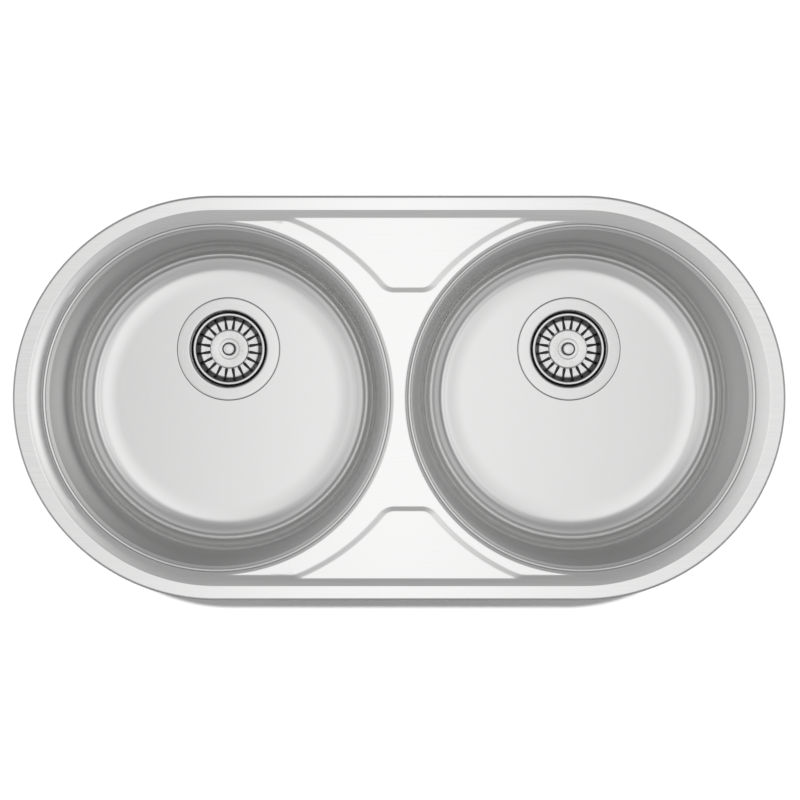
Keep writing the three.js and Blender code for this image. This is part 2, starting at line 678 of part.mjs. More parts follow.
function placed(position, ...children) {
  const group = new THREE.Group();
  group.position.set(...position);
  group.add(...children);
  return group;
}

function wastePieces(hand) {
  return [
    piece(`strainer_flange_${hand}`, strainerFlange(), polishedStainless),
    piece(`flange_gasket_${hand}`, flangeGasket(), blackRubber),
    piece(`waste_gasket_${hand}`, wasteGasket(), blackRubber),
    piece(`waste_body_${hand}`, wasteBody(), whitePolypropylene),
    piece(`waste_screw_${hand}`, wasteScrew(), polishedStainless),
    piece(`basket_${hand}`, basket(), polishedStainless),
    piece(`basket_knob_${hand}`, basketKnob(), polishedStainless),
    piece(`basket_pin_${hand}`, basketPin(), polishedStainless),
    piece(`basket_seal_${hand}`, basketSeal(), blackRubber),
  ];
}

function bowlPieces(hand, side) {
  const [across, rear] = wasteOffset(side);
  return placed(
    [side * BOWL_SPACING / 2, 0, 0],
    piece(`bowl_${hand}`, bowl(side), satinStainless),
    piece(`sound_pad_${hand}`, soundPad(), bitumenPad),
    placed([across, rear, FLOOR], ...wastePieces(hand)),
  );
}

// Places of the clips round the cut-out: two on each long side and two round each end.
function clipPlaces() {
  const radius = RIM_RADIUS - RIM_OVERHANG;
  const places = [];
  for (const [across, rear] of [[1, 1], [-1, 1], [-1, -1], [1, -1]]) {
    const corner = polar(radius, CLIP_END_ANGLE);
    const outward = Math.atan2(corner.y * rear, corner.x * across);
    places.push({ x: across * CLIP_STRAIGHT_X, y: rear * radius, outward: rear * Math.PI / 2 });
    places.push({ x: across * (END_REACH + corner.x), y: rear * corner.y, outward });
  }
  return places;
}

function clipPieces(number, place) {
  const clip = placed(
    [place.x, place.y, 0],
    piece(`clip_${number}_bracket`, clipBracket(), zincPlatedSteel),
    piece(`clip_${number}_claw`, clipClaw(), zincPlatedSteel),
  );
  const onAxis = placed(
    [-CLIP_AXIS_INBOARD, 0, 0],
    piece(`clip_${number}_washer`, clipWasher(), zincPlatedSteel),
    piece(`clip_${number}_screw`, clipScrew(), zincPlatedSteel),
  );
  clip.add(onAxis);
  clip.rotation.z = place.outward;
  return clip;
}

const sink = new THREE.Group();
sink.add(piece('deck_plate', deckPlate(), satinStainless));
sink.add(piece('rim_seal', rimSeal(), greyFoam));
sink.add(bowlPieces('left', -1), bowlPieces('right', 1));
clipPlaces().forEach((place, i) => sink.add(clipPieces(i + 1, place)));

export default sink;
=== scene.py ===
import math

import bmesh
import bpy
from mathutils import Matrix, Vector
from mathutils.geometry import delaunay_2d_cdt


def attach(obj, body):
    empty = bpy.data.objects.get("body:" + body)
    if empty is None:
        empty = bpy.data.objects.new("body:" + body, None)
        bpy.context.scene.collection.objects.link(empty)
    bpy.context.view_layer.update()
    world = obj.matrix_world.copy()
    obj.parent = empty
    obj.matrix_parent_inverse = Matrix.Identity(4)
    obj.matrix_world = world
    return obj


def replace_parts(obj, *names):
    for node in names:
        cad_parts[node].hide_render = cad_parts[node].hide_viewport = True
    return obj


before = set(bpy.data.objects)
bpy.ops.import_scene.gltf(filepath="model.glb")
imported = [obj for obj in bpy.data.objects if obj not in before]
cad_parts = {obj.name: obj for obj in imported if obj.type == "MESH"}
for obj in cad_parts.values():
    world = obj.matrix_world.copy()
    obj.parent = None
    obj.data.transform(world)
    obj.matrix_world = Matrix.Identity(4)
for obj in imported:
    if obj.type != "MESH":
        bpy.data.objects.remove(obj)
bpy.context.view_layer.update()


# ---- Camera ----
# The sink is seen from straight above, from 2.3 m over its rim and a little behind its middle.
# The view takes in 869 mm at the height of the rim.
RIM_HEIGHT = 5
CAMERA_RISE = 2300
CAMERA_PLACE = (-8, 44)
VIEW_WIDTH = 869
VIEW_MIDDLE = (0.9, -2.1)
SENSOR_WIDTH = 36
SIGHT_REACH = 30000

camera_data = bpy.data.cameras.new("camera")
camera_data.sensor_width = SENSOR_WIDTH
camera_data.lens = SENSOR_WIDTH * CAMERA_RISE / VIEW_WIDTH
camera_data.shift_x = (VIEW_MIDDLE[0] - CAMERA_PLACE[0]) / VIEW_WIDTH
camera_data.shift_y = (VIEW_MIDDLE[1] - CAMERA_PLACE[1]) / VIEW_WIDTH
camera_data.clip_end = SIGHT_REACH / 1000
camera = bpy.data.objects.new("camera", camera_data)
camera.location = Vector((*CAMERA_PLACE, RIM_HEIGHT + CAMERA_RISE)) / 1000
bpy.context.scene.collection.objects.link(camera)
bpy.context.scene.camera = camera
bpy.context.scene.view_settings.view_transform = "Standard"


# ---- Studio light ----
# A soft room of pale light: a bright panel overhead that runs from front to rear, long soft panels to
# the left and right, and dimmer ends. Steel shows this room, so each wall's brightness is drawn by the
# angle off the zenith, in degrees. Past the floor the lens sees plain white.
def add_node(tree, kind, inputs=None, stops=(), **settings):
    """Adds a node with its settings, the stops of its ramp, and its inputs: values, nodes or sockets."""
    node = tree.nodes.new(kind)
    for name, value in settings.items():
        setattr(node, name, value)
    for i, (place, value) in enumerate(stops):
        elements = node.color_ramp.elements
        element = elements[i] if i < 2 else elements.new(place)
        element.position = place
        element.color = value if isinstance(value, tuple) else (value, value, value, 1)
    for socket, value in (inputs or {}).items():
        if isinstance(value, bpy.types.Node):
            value = value.outputs[0]
        if isinstance(value, bpy.types.NodeSocket):
            tree.links.new(value, node.inputs[socket])
        else:
            node.inputs[socket].default_value = value
    return node


ROOM_STRENGTH = 1.3
TO_RIGHT = {
    0: 0.93, 3: 0.90, 5: 0.82, 8: 0.71, 11: 0.69, 14: 0.82, 18: 0.86, 24: 0.66, 27: 0.74, 30: 0.92,
    33: 0.88, 36: 0.56, 39: 0.28, 43: 0.18, 47: 0.28, 53: 0.44, 60: 0.42, 75: 0.32, 90: 0.22,
}
TO_LEFT = {
    0: 0.93, 3: 0.87, 5: 0.76, 8: 0.66, 11: 0.63, 14: 0.72, 18: 0.72, 27: 0.66, 36: 0.62, 45: 0.54,
    60: 0.56, 75: 0.38, 90: 0.22,
}
TO_FRONT = {
    0: 0.93, 7: 0.92, 10: 0.78, 18: 0.44, 27: 0.40, 36: 0.41, 50: 0.38, 65: 0.40, 78: 0.28, 90: 0.20,
}
TO_REAR = {
    0: 0.93, 7: 0.92, 10: 0.72, 18: 0.42, 27: 0.36, 36: 0.31, 50: 0.30, 65: 0.36, 78: 0.26, 90: 0.20,
}


def wall_light(tree, up, wall):
    """The brightness of one wall of the room, where up is how far a direction points upwards, 0 to 1."""
    stops = [(math.cos(math.radians(angle)), wall[angle]) for angle in sorted(wall, reverse=True)]
    return add_node(tree, "ShaderNodeValToRGB", {"Fac": up}, stops=stops)


def share_towards(tree, part, level):
    """How far a direction turns towards one side of the room, from 0 for the side opposite to 1."""
    turned = add_node(tree, "ShaderNodeMath", {0: part, 1: level}, operation="DIVIDE")
    return add_node(tree, "ShaderNodeMath", {0: turned, 1: 0.5, 2: 0.5}, operation="MULTIPLY_ADD")


room = bpy.data.worlds.new("soft_room")
room.use_nodes = True
bpy.context.scene.world = room
tree = room.node_tree
tree.nodes.clear()
across, along, up = add_node(tree, "ShaderNodeSeparateXYZ", {0: add_node(tree, "ShaderNodeTexCoord")}).outputs
across_squared = add_node(tree, "ShaderNodeMath", {0: across, 1: across}, operation="MULTIPLY")
along_squared = add_node(tree, "ShaderNodeMath", {0: along, 1: along}, operation="MULTIPLY")
level_squared = add_node(tree, "ShaderNodeMath", {0: across_squared, 1: along_squared}, operation="ADD")
level = add_node(tree, "ShaderNodeMath", {0: level_squared}, operation="SQRT")
sideways = add_node(tree, "ShaderNodeMath", {0: across_squared, 1: level_squared}, operation="DIVIDE")
to_right = share_towards(tree, across, level)
to_rear = share_towards(tree, along, level)
left, right, front, rear = (wall_light(tree, up, wall) for wall in (TO_LEFT, TO_RIGHT, TO_FRONT, TO_REAR))
left_right = add_node(tree, "ShaderNodeMix", {0: to_right, 2: left, 3: right}, data_type="FLOAT")
front_rear = add_node(tree, "ShaderNodeMix", {0: to_rear, 2: front, 3: rear}, data_type="FLOAT")
light = add_node(tree, "ShaderNodeMix", {0: sideways, 2: front_rear, 3: left_right}, data_type="FLOAT")
background = add_node(tree, "ShaderNodeBackground", {"Color": light, "Strength": ROOM_STRENGTH})
white = add_node(tree, "ShaderNodeBackground", {"Color": (1, 1, 1, 1), "Strength": 1})
to_lens = add_node(tree, "ShaderNodeLightPath").outputs["Is Camera Ray"]
seen = add_node(tree, "ShaderNodeMixShader", {0: to_lens, 1: background, 2: white})
add_node(tree, "ShaderNodeOutputWorld", {"Surface": seen})

# The key lamp stands above the rear edge. It gives the floor its light and the sink its short shadow to
# the front. Steel doesn't mirror it, because the overhead panel of the room already stands in its place.
KEY_STRENGTH = 3.4
KEY_TILT = 8.6
KEY_WIDTH = 1.2
key_data = bpy.data.lights.new("key", "SUN")
key_data.energy = KEY_STRENGTH
key_data.angle = math.radians(KEY_WIDTH)
key = bpy.data.objects.new("key", key_data)
key.rotation_euler.x = -math.radians(KEY_TILT)
key.visible_glossy = False
bpy.context.scene.collection.objects.link(key)


# ---- Floor ----
# A wide floor of matt white paint lies just under the outlets and takes the sink's shadow. It is painted on
# its upper side alone: seen from below, it isn't there.
STUDIO_FLOOR = -221.5
STUDIO_REACH = 6000


def linear(colour):
    """An sRGB hex colour as the linear colour that a node takes."""
    shares = [int(colour[i : i + 2], 16) / 255 for i in (1, 3, 5)]
    return (*(s / 12.92 if s <= 0.04045 else ((s + 0.055) / 1.055) ** 2.4 for s in shares), 1)


def new_material(name):
    """A material with its node tree and its shader."""
    material = bpy.data.materials.new(name)
    material.use_nodes = True
    return material, material.node_tree, material.node_tree.nodes["Principled BSDF"]


floor_paint, tree, shader = new_material("white_floor_paint")
shader.inputs["Base Color"].default_value = linear("#D4D4D4")
shader.inputs["Roughness"].default_value = 0.9
shader.inputs["Specular IOR Level"].default_value = 0.1
unseen = add_node(tree, "ShaderNodeBsdfTransparent")
behind = add_node(tree, "ShaderNodeNewGeometry").outputs["Backfacing"]
surface = add_node(tree, "ShaderNodeMixShader", {0: behind, 1: shader, 2: unseen})
tree.links.new(surface.outputs[0], tree.nodes["Material Output"].inputs["Surface"])

bm = bmesh.new()
bmesh.ops.create_grid(bm, x_segments=1, y_segments=1, size=STUDIO_REACH / 1000)
bmesh.ops.translate(bm, vec=(0, 0, STUDIO_FLOOR / 1000), verts=bm.verts)
floor_mesh = bpy.data.meshes.new("floor")
bm.to_mesh(floor_mesh)
bm.free()
floor_mesh.materials.append(floor_paint)
studio_floor = bpy.data.objects.new("floor", floor_mesh)
bpy.context.scene.collection.objects.link(studio_floor)


# ---- Deck plate ----
# The deck is one pressing of 0.8 mm 18/10 stainless sheet. Its edge is rolled down to the worktop, and
# inside a flat rim it drops to a level with a shallow raised land at the front and rear. Two round mouths
# turn down into collars.
SHEET = 0.8
RIM_RADIUS = 220
END_REACH = 200
RIM_BAND = 15.6
RIM_FALL = 0.30
RIM_CURVE = 0.0066
EDGE_FLANK = 2.2
EDGE_DROP = 1.85
EDGE_SOFTNESS = 0.3
EDGE_FOLD = (1.6, 0.7, 0.3)
DECK_HEIGHT = 0.6
LAND_HEIGHT = 2.1
LAND_MIDDLE = (9.5, -1.5)
LAND_SIDE_CENTRE = Vector((209, -24.3))
LAND_SIDE_RADIUS = 234.4
LAND_INNER_EDGE = 119
LAND_CORNER = 18
LAND_SLOPE = 5.2
LAND_SOFTNESS = 0.3
LAND_TOP_EDGE = 203
BEND_TIGHTEST = 0.02
BEND_SOFTEST = 0.5
BEND_RUN = 60
BOWL_SPREAD = 199
MOUTH_RADIUS = 195
LIP_ROLL = 10.1
LIP_CUT = 190.6
COLLAR_RADIUS = 186
COLLAR_TOP = -7.4
COLLAR_END = -17
WALL_LEAN = 8.5
TAPER = math.tan(math.radians(WALL_LEAN))
BOWL_STEPS = 192
SHARP_FOLD = 38


def bend_over(low, high, softness):
    """The greater of two heights, with the bend between them rounded."""
    near = max(softness - abs(low - high), 0) / softness
    return max(low, high) + near * near * softness / 4


def rim_inset(point):
    """How far a point in plan lies in from the sink's outline."""
    return RIM_RADIUS - math.hypot(max(abs(point.x) - END_REACH, 0), point.y)


def land_corner():
    """The middle of the rounded corner between a land's side and its inner edge."""
    up = LAND_INNER_EDGE + LAND_CORNER
    reach = LAND_SIDE_RADIUS + LAND_CORNER
    return Vector((LAND_SIDE_CENTRE.x - math.sqrt(reach**2 - (up - LAND_SIDE_CENTRE.y) ** 2), up))


def outside_land(point):
    """How far a point in plan lies outside the nearer land, along the slope of its edge."""
    here = Vector((abs(point.x - LAND_MIDDLE[0]), abs(point.y - LAND_MIDDLE[1])))
    corner = land_corner()
    to_point = here - corner
    to_side = LAND_SIDE_CENTRE - corner
    if to_point.x < 0:
        return LAND_INNER_EDGE - here.y
    if to_point.y > 0 or to_point.cross(to_side) < 0:
        return LAND_SIDE_RADIUS - (here - LAND_SIDE_CENTRE).length
    return to_point.length - LAND_CORNER


def from_bowl(point):
    """How far a point in plan lies from the middle of the nearer bowl."""
    return math.hypot(abs(point.x) - BOWL_SPREAD, point.y)


def rim_fall(inset):
    """The slope inside the flat rim, which grows steeper towards the bowls."""
    run = max(inset - RIM_BAND, 0)
    return RIM_HEIGHT - RIM_FALL * run - RIM_CURVE * run * run


def deck_height(point):
    """The height of the pressed face at a point in plan.

    Beside a bowl's outer half, the slope runs straight to its lip. Further in, a bend leads from the foot of
    the slope to the deck, tight beside the bowls' middles and softer towards the lands.
    """
    inset = rim_inset(point)
    if inset < EDGE_FLANK + EDGE_SOFTNESS:
        flank = RIM_HEIGHT - EDGE_DROP * (EDGE_FLANK - inset) / EDGE_FLANK
        return -bend_over(-flank, -RIM_HEIGHT, EDGE_SOFTNESS)
    radius = from_bowl(point)
    beside = BOWL_SPREAD - abs(point.x)
    if beside <= 0:
        return rim_fall(RIM_RADIUS - radius)
    softness = BEND_TIGHTEST + (BEND_SOFTEST - BEND_TIGHTEST) * min(beside / BEND_RUN, 1)
    rise = LAND_HEIGHT - DECK_HEIGHT
    ramp = rise * (0.5 - outside_land(point) / LAND_SLOPE)
    land = DECK_HEIGHT + bend_over(-bend_over(-ramp, -rise, LAND_SOFTNESS), 0, LAND_SOFTNESS)
    high = bend_over(rim_fall(inset), land, softness)
    lip = rim_fall(RIM_RADIUS - radius)
    if radius < MOUTH_RADIUS:
        roll = DECK_HEIGHT - LIP_ROLL + math.sqrt(LIP_ROLL**2 - (MOUTH_RADIUS - radius) ** 2)
        high = min(high, max(roll, lip))
    return high


def stadium(inset, steps=96):
    """The sink's outline in plan, drawn in by an inset."""
    turns = [math.radians(-90 + 180 * i / steps) for i in range(steps + 1)]
    half = [Vector((math.cos(t), math.sin(t))) * (RIM_RADIUS - inset) + Vector((END_REACH, 0)) for t in turns]
    return half + [-point for point in half]


def circle(centre, radius):
    """A circle in plan."""
    turns = [math.tau * i / BOWL_STEPS for i in range(BOWL_STEPS)]
    return [Vector(centre) + Vector((math.cos(t), math.sin(t))) * radius for t in turns]


def land_line(outside, end, side_steps=28, corner_steps=12):
    """A line round a land, at a distance outside its edge. It starts and stops at the rim."""
    radius = LAND_SIDE_RADIUS - outside
    corner = land_corner()
    to_side = LAND_SIDE_CENTRE - corner
    start = math.pi - math.asin((LAND_TOP_EDGE - LAND_SIDE_CENTRE.y) / radius)
    stop = math.atan2(-to_side.y, -to_side.x)
    half = []
    for i in range(side_steps + 1):
        turn = start + (stop - start) * i / side_steps
        half.append(LAND_SIDE_CENTRE + Vector((math.cos(turn), math.sin(turn))) * radius)
    for i in range(1, corner_steps + 1):
        turn = stop - math.pi + (math.pi / 2 - stop) * i / corner_steps
        half.append(corner + Vector((math.cos(turn), math.sin(turn))) * (LAND_CORNER + outside))
    line = half + [Vector((-point.x, point.y)) for point in reversed(half)]
    return [Vector((LAND_MIDDLE[0] + point.x, LAND_MIDDLE[1] + point.y * end)) for point in line]


# The pressing is drawn in plan with close lines along each bend, filled, and each point is raised to its
# height. The lines are insets from the outer edge, steps in from the slope's head, radii about a bowl, and
# steps off the head and the foot of a land's slope.
EDGE_LINES = (0, 0.5, 1.2, 1.9, 2.1, 2.3, 2.5, 3)
SLOPE_LINES = (
    -1, -0.3, 0, 0.3, 0.7, 1.3, 2, 2.8, 3.6, 4.4, 5.2, 6, 6.8, 7.4, 8, 8.6, 9.2, 9.8, 10.4, 11,
)
LIP_LINES = (LIP_CUT, 191.2, 191.8, 192.4, 193, 193.6, 194.2, 194.8, 195.4, 196.4)
LAND_LINES = (-1.3, -0.9, -0.45, 0, 0.45, 0.9, 1.5)

closed_lines = [stadium(inset) for inset in EDGE_LINES]
closed_lines += [stadium(RIM_BAND + step) for step in SLOPE_LINES]
for side in (-1, 1):
    closed_lines += [circle((side * BOWL_SPREAD, 0), radius) for radius in LIP_LINES]
land_edges = [sign * (LAND_SLOPE / 2 + step) for sign in (-1, 1) for step in LAND_LINES]
open_lines = [land_line(outside, end) for outside in land_edges for end in (1, -1)]

plan_points = []
plan_edges = []
for number, line in enumerate(closed_lines + open_lines):
    start = len(plan_points)
    plan_points += line
    plan_edges += [(i, i + 1) for i in range(start, len(plan_points) - 1)]
    if number < len(closed_lines):
        plan_edges.append((len(plan_points) - 1, start))
filled = delaunay_2d_cdt(plan_points, plan_edges, [], 0, 1e-4)
places, triangles = filled[0], filled[2]

bm = bmesh.new()
corners = [bm.verts.new((point.x, point.y, deck_height(point))) for point in places]
for triangle in triangles:
    middle = sum((places[i] for i in triangle), Vector((0, 0))) / 3
    if from_bowl(middle) > LIP_CUT and rim_inset(middle) > 0:
        bm.faces.new([corners[i] for i in triangle])
bmesh.ops.delete(bm, geom=[v for v in bm.verts if not v.link_faces], context="VERTS")
bmesh.ops.dissolve_degenerate(bm, dist=1e-3, edges=bm.edges)


def points_of(items):
    """The points among the things that a mesh tool made."""
    return [item for item in items if isinstance(item, bmesh.types.BMVert)]


def edges_between(items, points):
    """The edges among the things that a mesh tool made whose ends are both among some points."""
    points = set(points)
    return [e for e in items if isinstance(e, bmesh.types.BMEdge) and all(v in points for v in e.verts)]


def drawn_on(bm, edges, move):
    """Extrudes an open edge of a sheet, moves its new points, and gives back the new open edge."""
    made = bmesh.ops.extrude_edge_only(bm, edges=edges)["geom"]
    points = points_of(made)
    for point in points:
        point.co = move(point.co)
    return edges_between(made, points)


def open_edges(bm, test):
    """The open edges of a sheet whose ends both pass a test."""
    return [e for e in bm.edges if len(e.link_faces) == 1 and all(test(v.co) for v in e.verts)]


def thicken(bm, thickness):
    """Turns the largest face of an open sheet upwards, and gives the sheet its thickness below that."""
    bmesh.ops.recalc_face_normals(bm, faces=bm.faces)
    if max(bm.faces, key=lambda face: face.calc_area()).normal.z < 0:
        bmesh.ops.reverse_faces(bm, faces=bm.faces)
    bmesh.ops.solidify(bm, geom=bm.faces[:], thickness=thickness)


# The mouths are rolled over and drawn down into collars, and the rim's edge is turned down. Each mouth has
# a fine stepped bead in its lip, which shows as a dark and a bright line round the bowl.
lip = [
    (190.0, -0.75), (189.6, -1.3), (189.35, -2.0), (189.15, -2.5), (188.85, -2.75), (188.3, -2.87),
    (187.6, -2.95), (187.1, -3.1), (186.75, -3.5), (186.5, -4.1), (186.3, -5.0), (186.15, -6.2),
]
for height in (COLLAR_TOP, -10.5, -12, -16.2, COLLAR_END):
    lip.append((COLLAR_RADIUS - (COLLAR_TOP - height) * TAPER, height))
for side in (-1, 1):
    centre = Vector((side * BOWL_SPREAD, 0, 0))
    loop = open_edges(bm, lambda co: abs((co.xy - centre.xy).length - LIP_CUT) < 0.1)
    for radius, height in lip:

        def rolled(co):
            out = (co.xy - centre.xy).normalized() * radius
            return Vector((centre.x + out.x, centre.y + out.y, height))

        loop = drawn_on(bm, loop, rolled)
loop = open_edges(bm, lambda co: rim_inset(co.xy) < 0.1)
for height in EDGE_FOLD:
    loop = drawn_on(bm, loop, lambda co: Vector((co.x, co.y, height)))
thicken(bm, SHEET)


def dress(bm, name, material, body, slot, *nodes, second=None, test=None):
    """Makes a piece of a mesh drawn in millimetres, with a second material on the faces that pass a test.

    The piece stands for its CAD nodes and moves with a body.
    """
    for face in bm.faces:
        face.material_index = 1 if test and test(face) else 0
    bmesh.ops.scale(bm, vec=(0.001, 0.001, 0.001), verts=bm.verts)
    for face in bm.faces:
        face.smooth = True
    mesh = bpy.data.meshes.new(name)
    bm.to_mesh(mesh)
    bm.free()
    mesh.set_sharp_from_angle(angle=math.radians(SHARP_FOLD))
    mesh.materials.append(material)
    if second:
        mesh.materials.append(second)
    piece = bpy.data.objects.new(name, mesh)
    bpy.context.scene.collection.objects.link(piece)
    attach(piece, body)
    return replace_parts(piece, *nodes)


# Satin stainless steel, 18/10, brushed along the sheet before it was pressed: long faint streaks that
# spread each reflection across the grain, over a sheet that is not quite flat.
DECK_STEEL = ("#E5E5E5", "#EAEAE9")
WAVE_LENGTH = 0.045
WAVE_RELIEF = 0.00002


def two_tone(tree, pattern, tones, stops=(0.3, 0.7)):
    """A colour that goes from one tone to another. A noise mostly lies from 0.3 to 0.7."""
    stops = [(stop, linear(tone)) for stop, tone in zip(stops, tones)]
    return add_node(tree, "ShaderNodeValToRGB", {"Fac": pattern}, stops=stops).outputs[0]


def wire(tree, shader, **sockets):
    """Links nodes or sockets to the shader's inputs of the same names."""
    for name, source in sockets.items():
        source = source.outputs[0] if isinstance(source, bpy.types.Node) else source
        tree.links.new(source, shader.inputs[name.replace("_", " ")])


def stainless_steel(name, colours, grain, streak, roughness, relief, painted_shade=(), lowest=0):
    """Stainless steel with a fine grain. A place in the grain is found by the grain function.

    Painted shade: darkening factors by height, from the lowest point of the piece up to the worktop's level.
    """
    material, tree, shader = new_material(name)
    coords = add_node(tree, "ShaderNodeTexCoord").outputs["Object"]
    vector, rings = grain(tree, coords, streak)
    noise = {"Vector": vector, "W": rings, "Scale": 1, "Detail": 1.5, "Roughness": 0.5}
    streaks = add_node(tree, "ShaderNodeTexNoise", noise, noise_dimensions="4D")
    tint = two_tone(tree, streaks, colours)
    if painted_shade:
        height = add_node(tree, "ShaderNodeSeparateXYZ", {0: coords}).outputs["Z"]
        place = add_node(tree, "ShaderNodeMapRange", {"Value": height, 1: lowest / 1000, 2: 0, 3: 0, 4: 1})
        painted_shade_ramp = add_node(tree, "ShaderNodeValToRGB", {"Fac": place}, stops=painted_shade)
        shaded = {0: 1, 6: tint, 7: painted_shade_ramp}
        tint = add_node(tree, "ShaderNodeMix", shaded, data_type="RGBA", blend_type="MULTIPLY").outputs[2]
    spread = {"Value": streaks, 1: 0.3, 2: 0.7, 3: roughness[0], 4: roughness[1]}
    gloss = add_node(tree, "ShaderNodeMapRange", spread)
    waves = add_node(tree, "ShaderNodeTexNoise", {"Vector": coords, "Scale": 1 / WAVE_LENGTH, "Detail": 1})
    sheet = add_node(tree, "ShaderNodeBump", {"Height": waves, "Strength": 1, "Distance": WAVE_RELIEF})
    lines = {"Height": streaks, "Strength": 1, "Distance": relief, "Normal": sheet}
    wire(tree, shader, Base_Color=tint, Roughness=gloss, Normal=add_node(tree, "ShaderNodeBump", lines))
    shader.inputs["Metallic"].default_value = 1
    return material


def along_sink(tree, coords, streak):
    """Straight grain along X: streaks of a length and a width, in metres."""
    length, width = streak
    stretch = {"Vector": coords, "Scale": (1 / length, 1 / width, 1 / width)}
    return add_node(tree, "ShaderNodeMapping", stretch), 0


# Real grain is about 0.05 mm wide. It is drawn 1.2 mm wide, so that it shows at the photograph's scale.
satin_deck = stainless_steel(
    "satin_brushed_stainless", DECK_STEEL, along_sink,
    streak=(0.06, 0.0012), roughness=(0.11, 0.16), relief=0.0000012,
)
dress(bm, "pressed_deck", satin_deck, "sink", "stainless_satin", "deck_plate")


# ---- Bowls ----
# Each bowl is a deep-drawn round pan of 0.8 mm stainless, welded inside the deck under its collar, which
# leaves a fine dark step all round. The flat floor carries a pressed recess and a hole for the waste, off
# the middle to the rear.
SIDES = {"left": -1, "right": 1}
SEAM_TOP = -12
SEAM_GAP = 1.112
WALL_LEVELS = (SEAM_TOP, -18, -40, -80, -114)
FILLET = 30
FILLET_CENTRE = (140.8, -114.35)
BOWL_FLOOR = -145
FLOOR_DISH = 200
FLOOR_TILT = 5
FLAT_RING = 1
WASTE_INBOARD = 2
WASTE_REAR = 54.0
RECESS = [
    (61.6, 0), (60.6, 0), (60.0, 0), (59.7, -0.06), (59.45, -0.3), (59.4, -1.0), (59.35, -1.7),
    (59.1, -2), (58.4, -2), (45.5, -2),
]
BOWL_STEEL = ("#F5F5F5", "#F7F7F6")
# Painted shade by height for the bowls: darkest up the walls, and the floor a little darker than its bend.
BOWL_PAINTED_SHADE = [(0, 0.76), (0.012, 0.78), (0.05, 1), (0.22, 1), (0.4, 0.58), (1, 0.5)]
WASTES = {hand: (side * (BOWL_SPREAD - WASTE_INBOARD), WASTE_REAR) for hand, side in SIDES.items()}


def spun(bm, profile, steps, centre=(0, 0), closed=False):
    """Spins a profile of radii and heights a full turn about an upright axis."""
    x, y = centre
    points = [bm.verts.new((x + radius, y, height)) for radius, height in profile]
    pairs = list(zip(points, points[1:])) + ([(points[-1], points[0])] if closed else [])
    edges = [bm.edges.new(pair) for pair in pairs]
    turn = {"cent": (x, y, 0), "axis": (0, 0, 1), "angle": math.tau, "steps": steps, "use_merge": True}
    bmesh.ops.spin(bm, geom=points + edges, **turn)


def from_floor(profile):
    """A profile whose heights are given from the bowl's floor."""
    return [(radius, BOWL_FLOOR + height) for radius, height in profile]


def arc(centre, radius, start, stop, steps):
    """Points of an arc in a profile, from one angle to another in degrees."""
    turns = [math.radians(start + (stop - start) * i / steps) for i in range(steps + 1)]
    return [(centre[0] + radius * math.cos(t), centre[1] + radius * math.sin(t)) for t in turns]


def shut(bm):
    """Merges the doubles of a mesh and turns its faces outwards."""
    bmesh.ops.remove_doubles(bm, verts=bm.verts, dist=1e-3)
    bmesh.ops.dissolve_degenerate(bm, dist=1e-4, edges=bm.edges)
    bmesh.ops.recalc_face_normals(bm, faces=bm.faces)


def level_with(height):
    """A test for places at a height."""
    return lambda co: abs(co.z - height) < 0.01


def around(centre):
    """Grain in rings about an upright axis, as a spinning mop or lathe leaves it.

    Of a streak, the first number is how often the grain changes round a ring, over one radian, and the
    second is its width in metres.
    """

    def grain(tree, coords, streak):
        to_axis = (-centre[0] / 1000, -centre[1] / 1000, 0)
        centred = add_node(tree, "ShaderNodeMapping", {"Vector": coords, "Location": to_axis})
        place = add_node(tree, "ShaderNodeSeparateXYZ", {0: centred})
        flat = add_node(tree, "ShaderNodeCombineXYZ", {"X": place.outputs["X"], "Y": place.outputs["Y"]})
        radius = add_node(tree, "ShaderNodeVectorMath", {0: flat}, operation="LENGTH").outputs["Value"]
        turned = add_node(tree, "ShaderNodeVectorMath", {0: flat}, operation="NORMALIZE")
        drawn = {0: turned, "Scale": streak[0]}
        turned = add_node(tree, "ShaderNodeVectorMath", drawn, operation="SCALE")
        fine = 1 / streak[1]
        height = add_node(tree, "ShaderNodeMath", {0: place.outputs["Z"], 1: fine}, operation="MULTIPLY")
        lift = add_node(tree, "ShaderNodeCombineXYZ", {"Z": height})
        vector = add_node(tree, "ShaderNodeVectorMath", {0: turned, 1: lift}, operation="ADD")
        return vector, add_node(tree, "ShaderNodeMath", {0: radius, 1: fine}, operation="MULTIPLY")

    return grain


for hand, side in SIDES.items():
    middle = (side * BOWL_SPREAD, 0)
    bm = bmesh.new()
    wall = [(COLLAR_RADIUS - (COLLAR_TOP - h) * TAPER + SEAM_GAP, h) for h in WALL_LEVELS]
    fillet = arc(FILLET_CENTRE, FILLET, -WALL_LEAN, FLOOR_TILT - 90, 16)
    flat = fillet[-1][0] - FLOOR_DISH * math.sin(math.radians(FLOOR_TILT))
    dish = arc((flat, BOWL_FLOOR + FLOOR_DISH), FLOOR_DISH, FLOOR_TILT - 90, -90, 6)
    spun(bm, [*wall, *fillet, *dish[1:], (flat - FLAT_RING, BOWL_FLOOR)], BOWL_STEPS, middle)
    spun(bm, from_floor(RECESS), BOWL_STEPS, WASTES[hand])
    shut(bm)
    bmesh.ops.bridge_loops(bm, edges=open_edges(bm, level_with(BOWL_FLOOR)))
    thicken(bm, SHEET)
    # Satin stainless, polished in rings while the bowl turned: soft round streaks on the floor and the
    # walls. Its colour carries painted shade by height: the walls darker, the floor a little darker than its
    # bend.
    satin_and_painted_shade = stainless_steel(
        f"satin_spun_stainless_painted_shade_{hand}", BOWL_STEEL, around(middle),
        streak=(4, 0.0012), roughness=(0.13, 0.17), relief=0.0000001, painted_shade=BOWL_PAINTED_SHADE, lowest=BOWL_FLOOR,
    )
    dress(bm, f"drawn_bowl_{hand}", satin_and_painted_shade, "sink", "stainless_satin", f"bowl_{hand}")


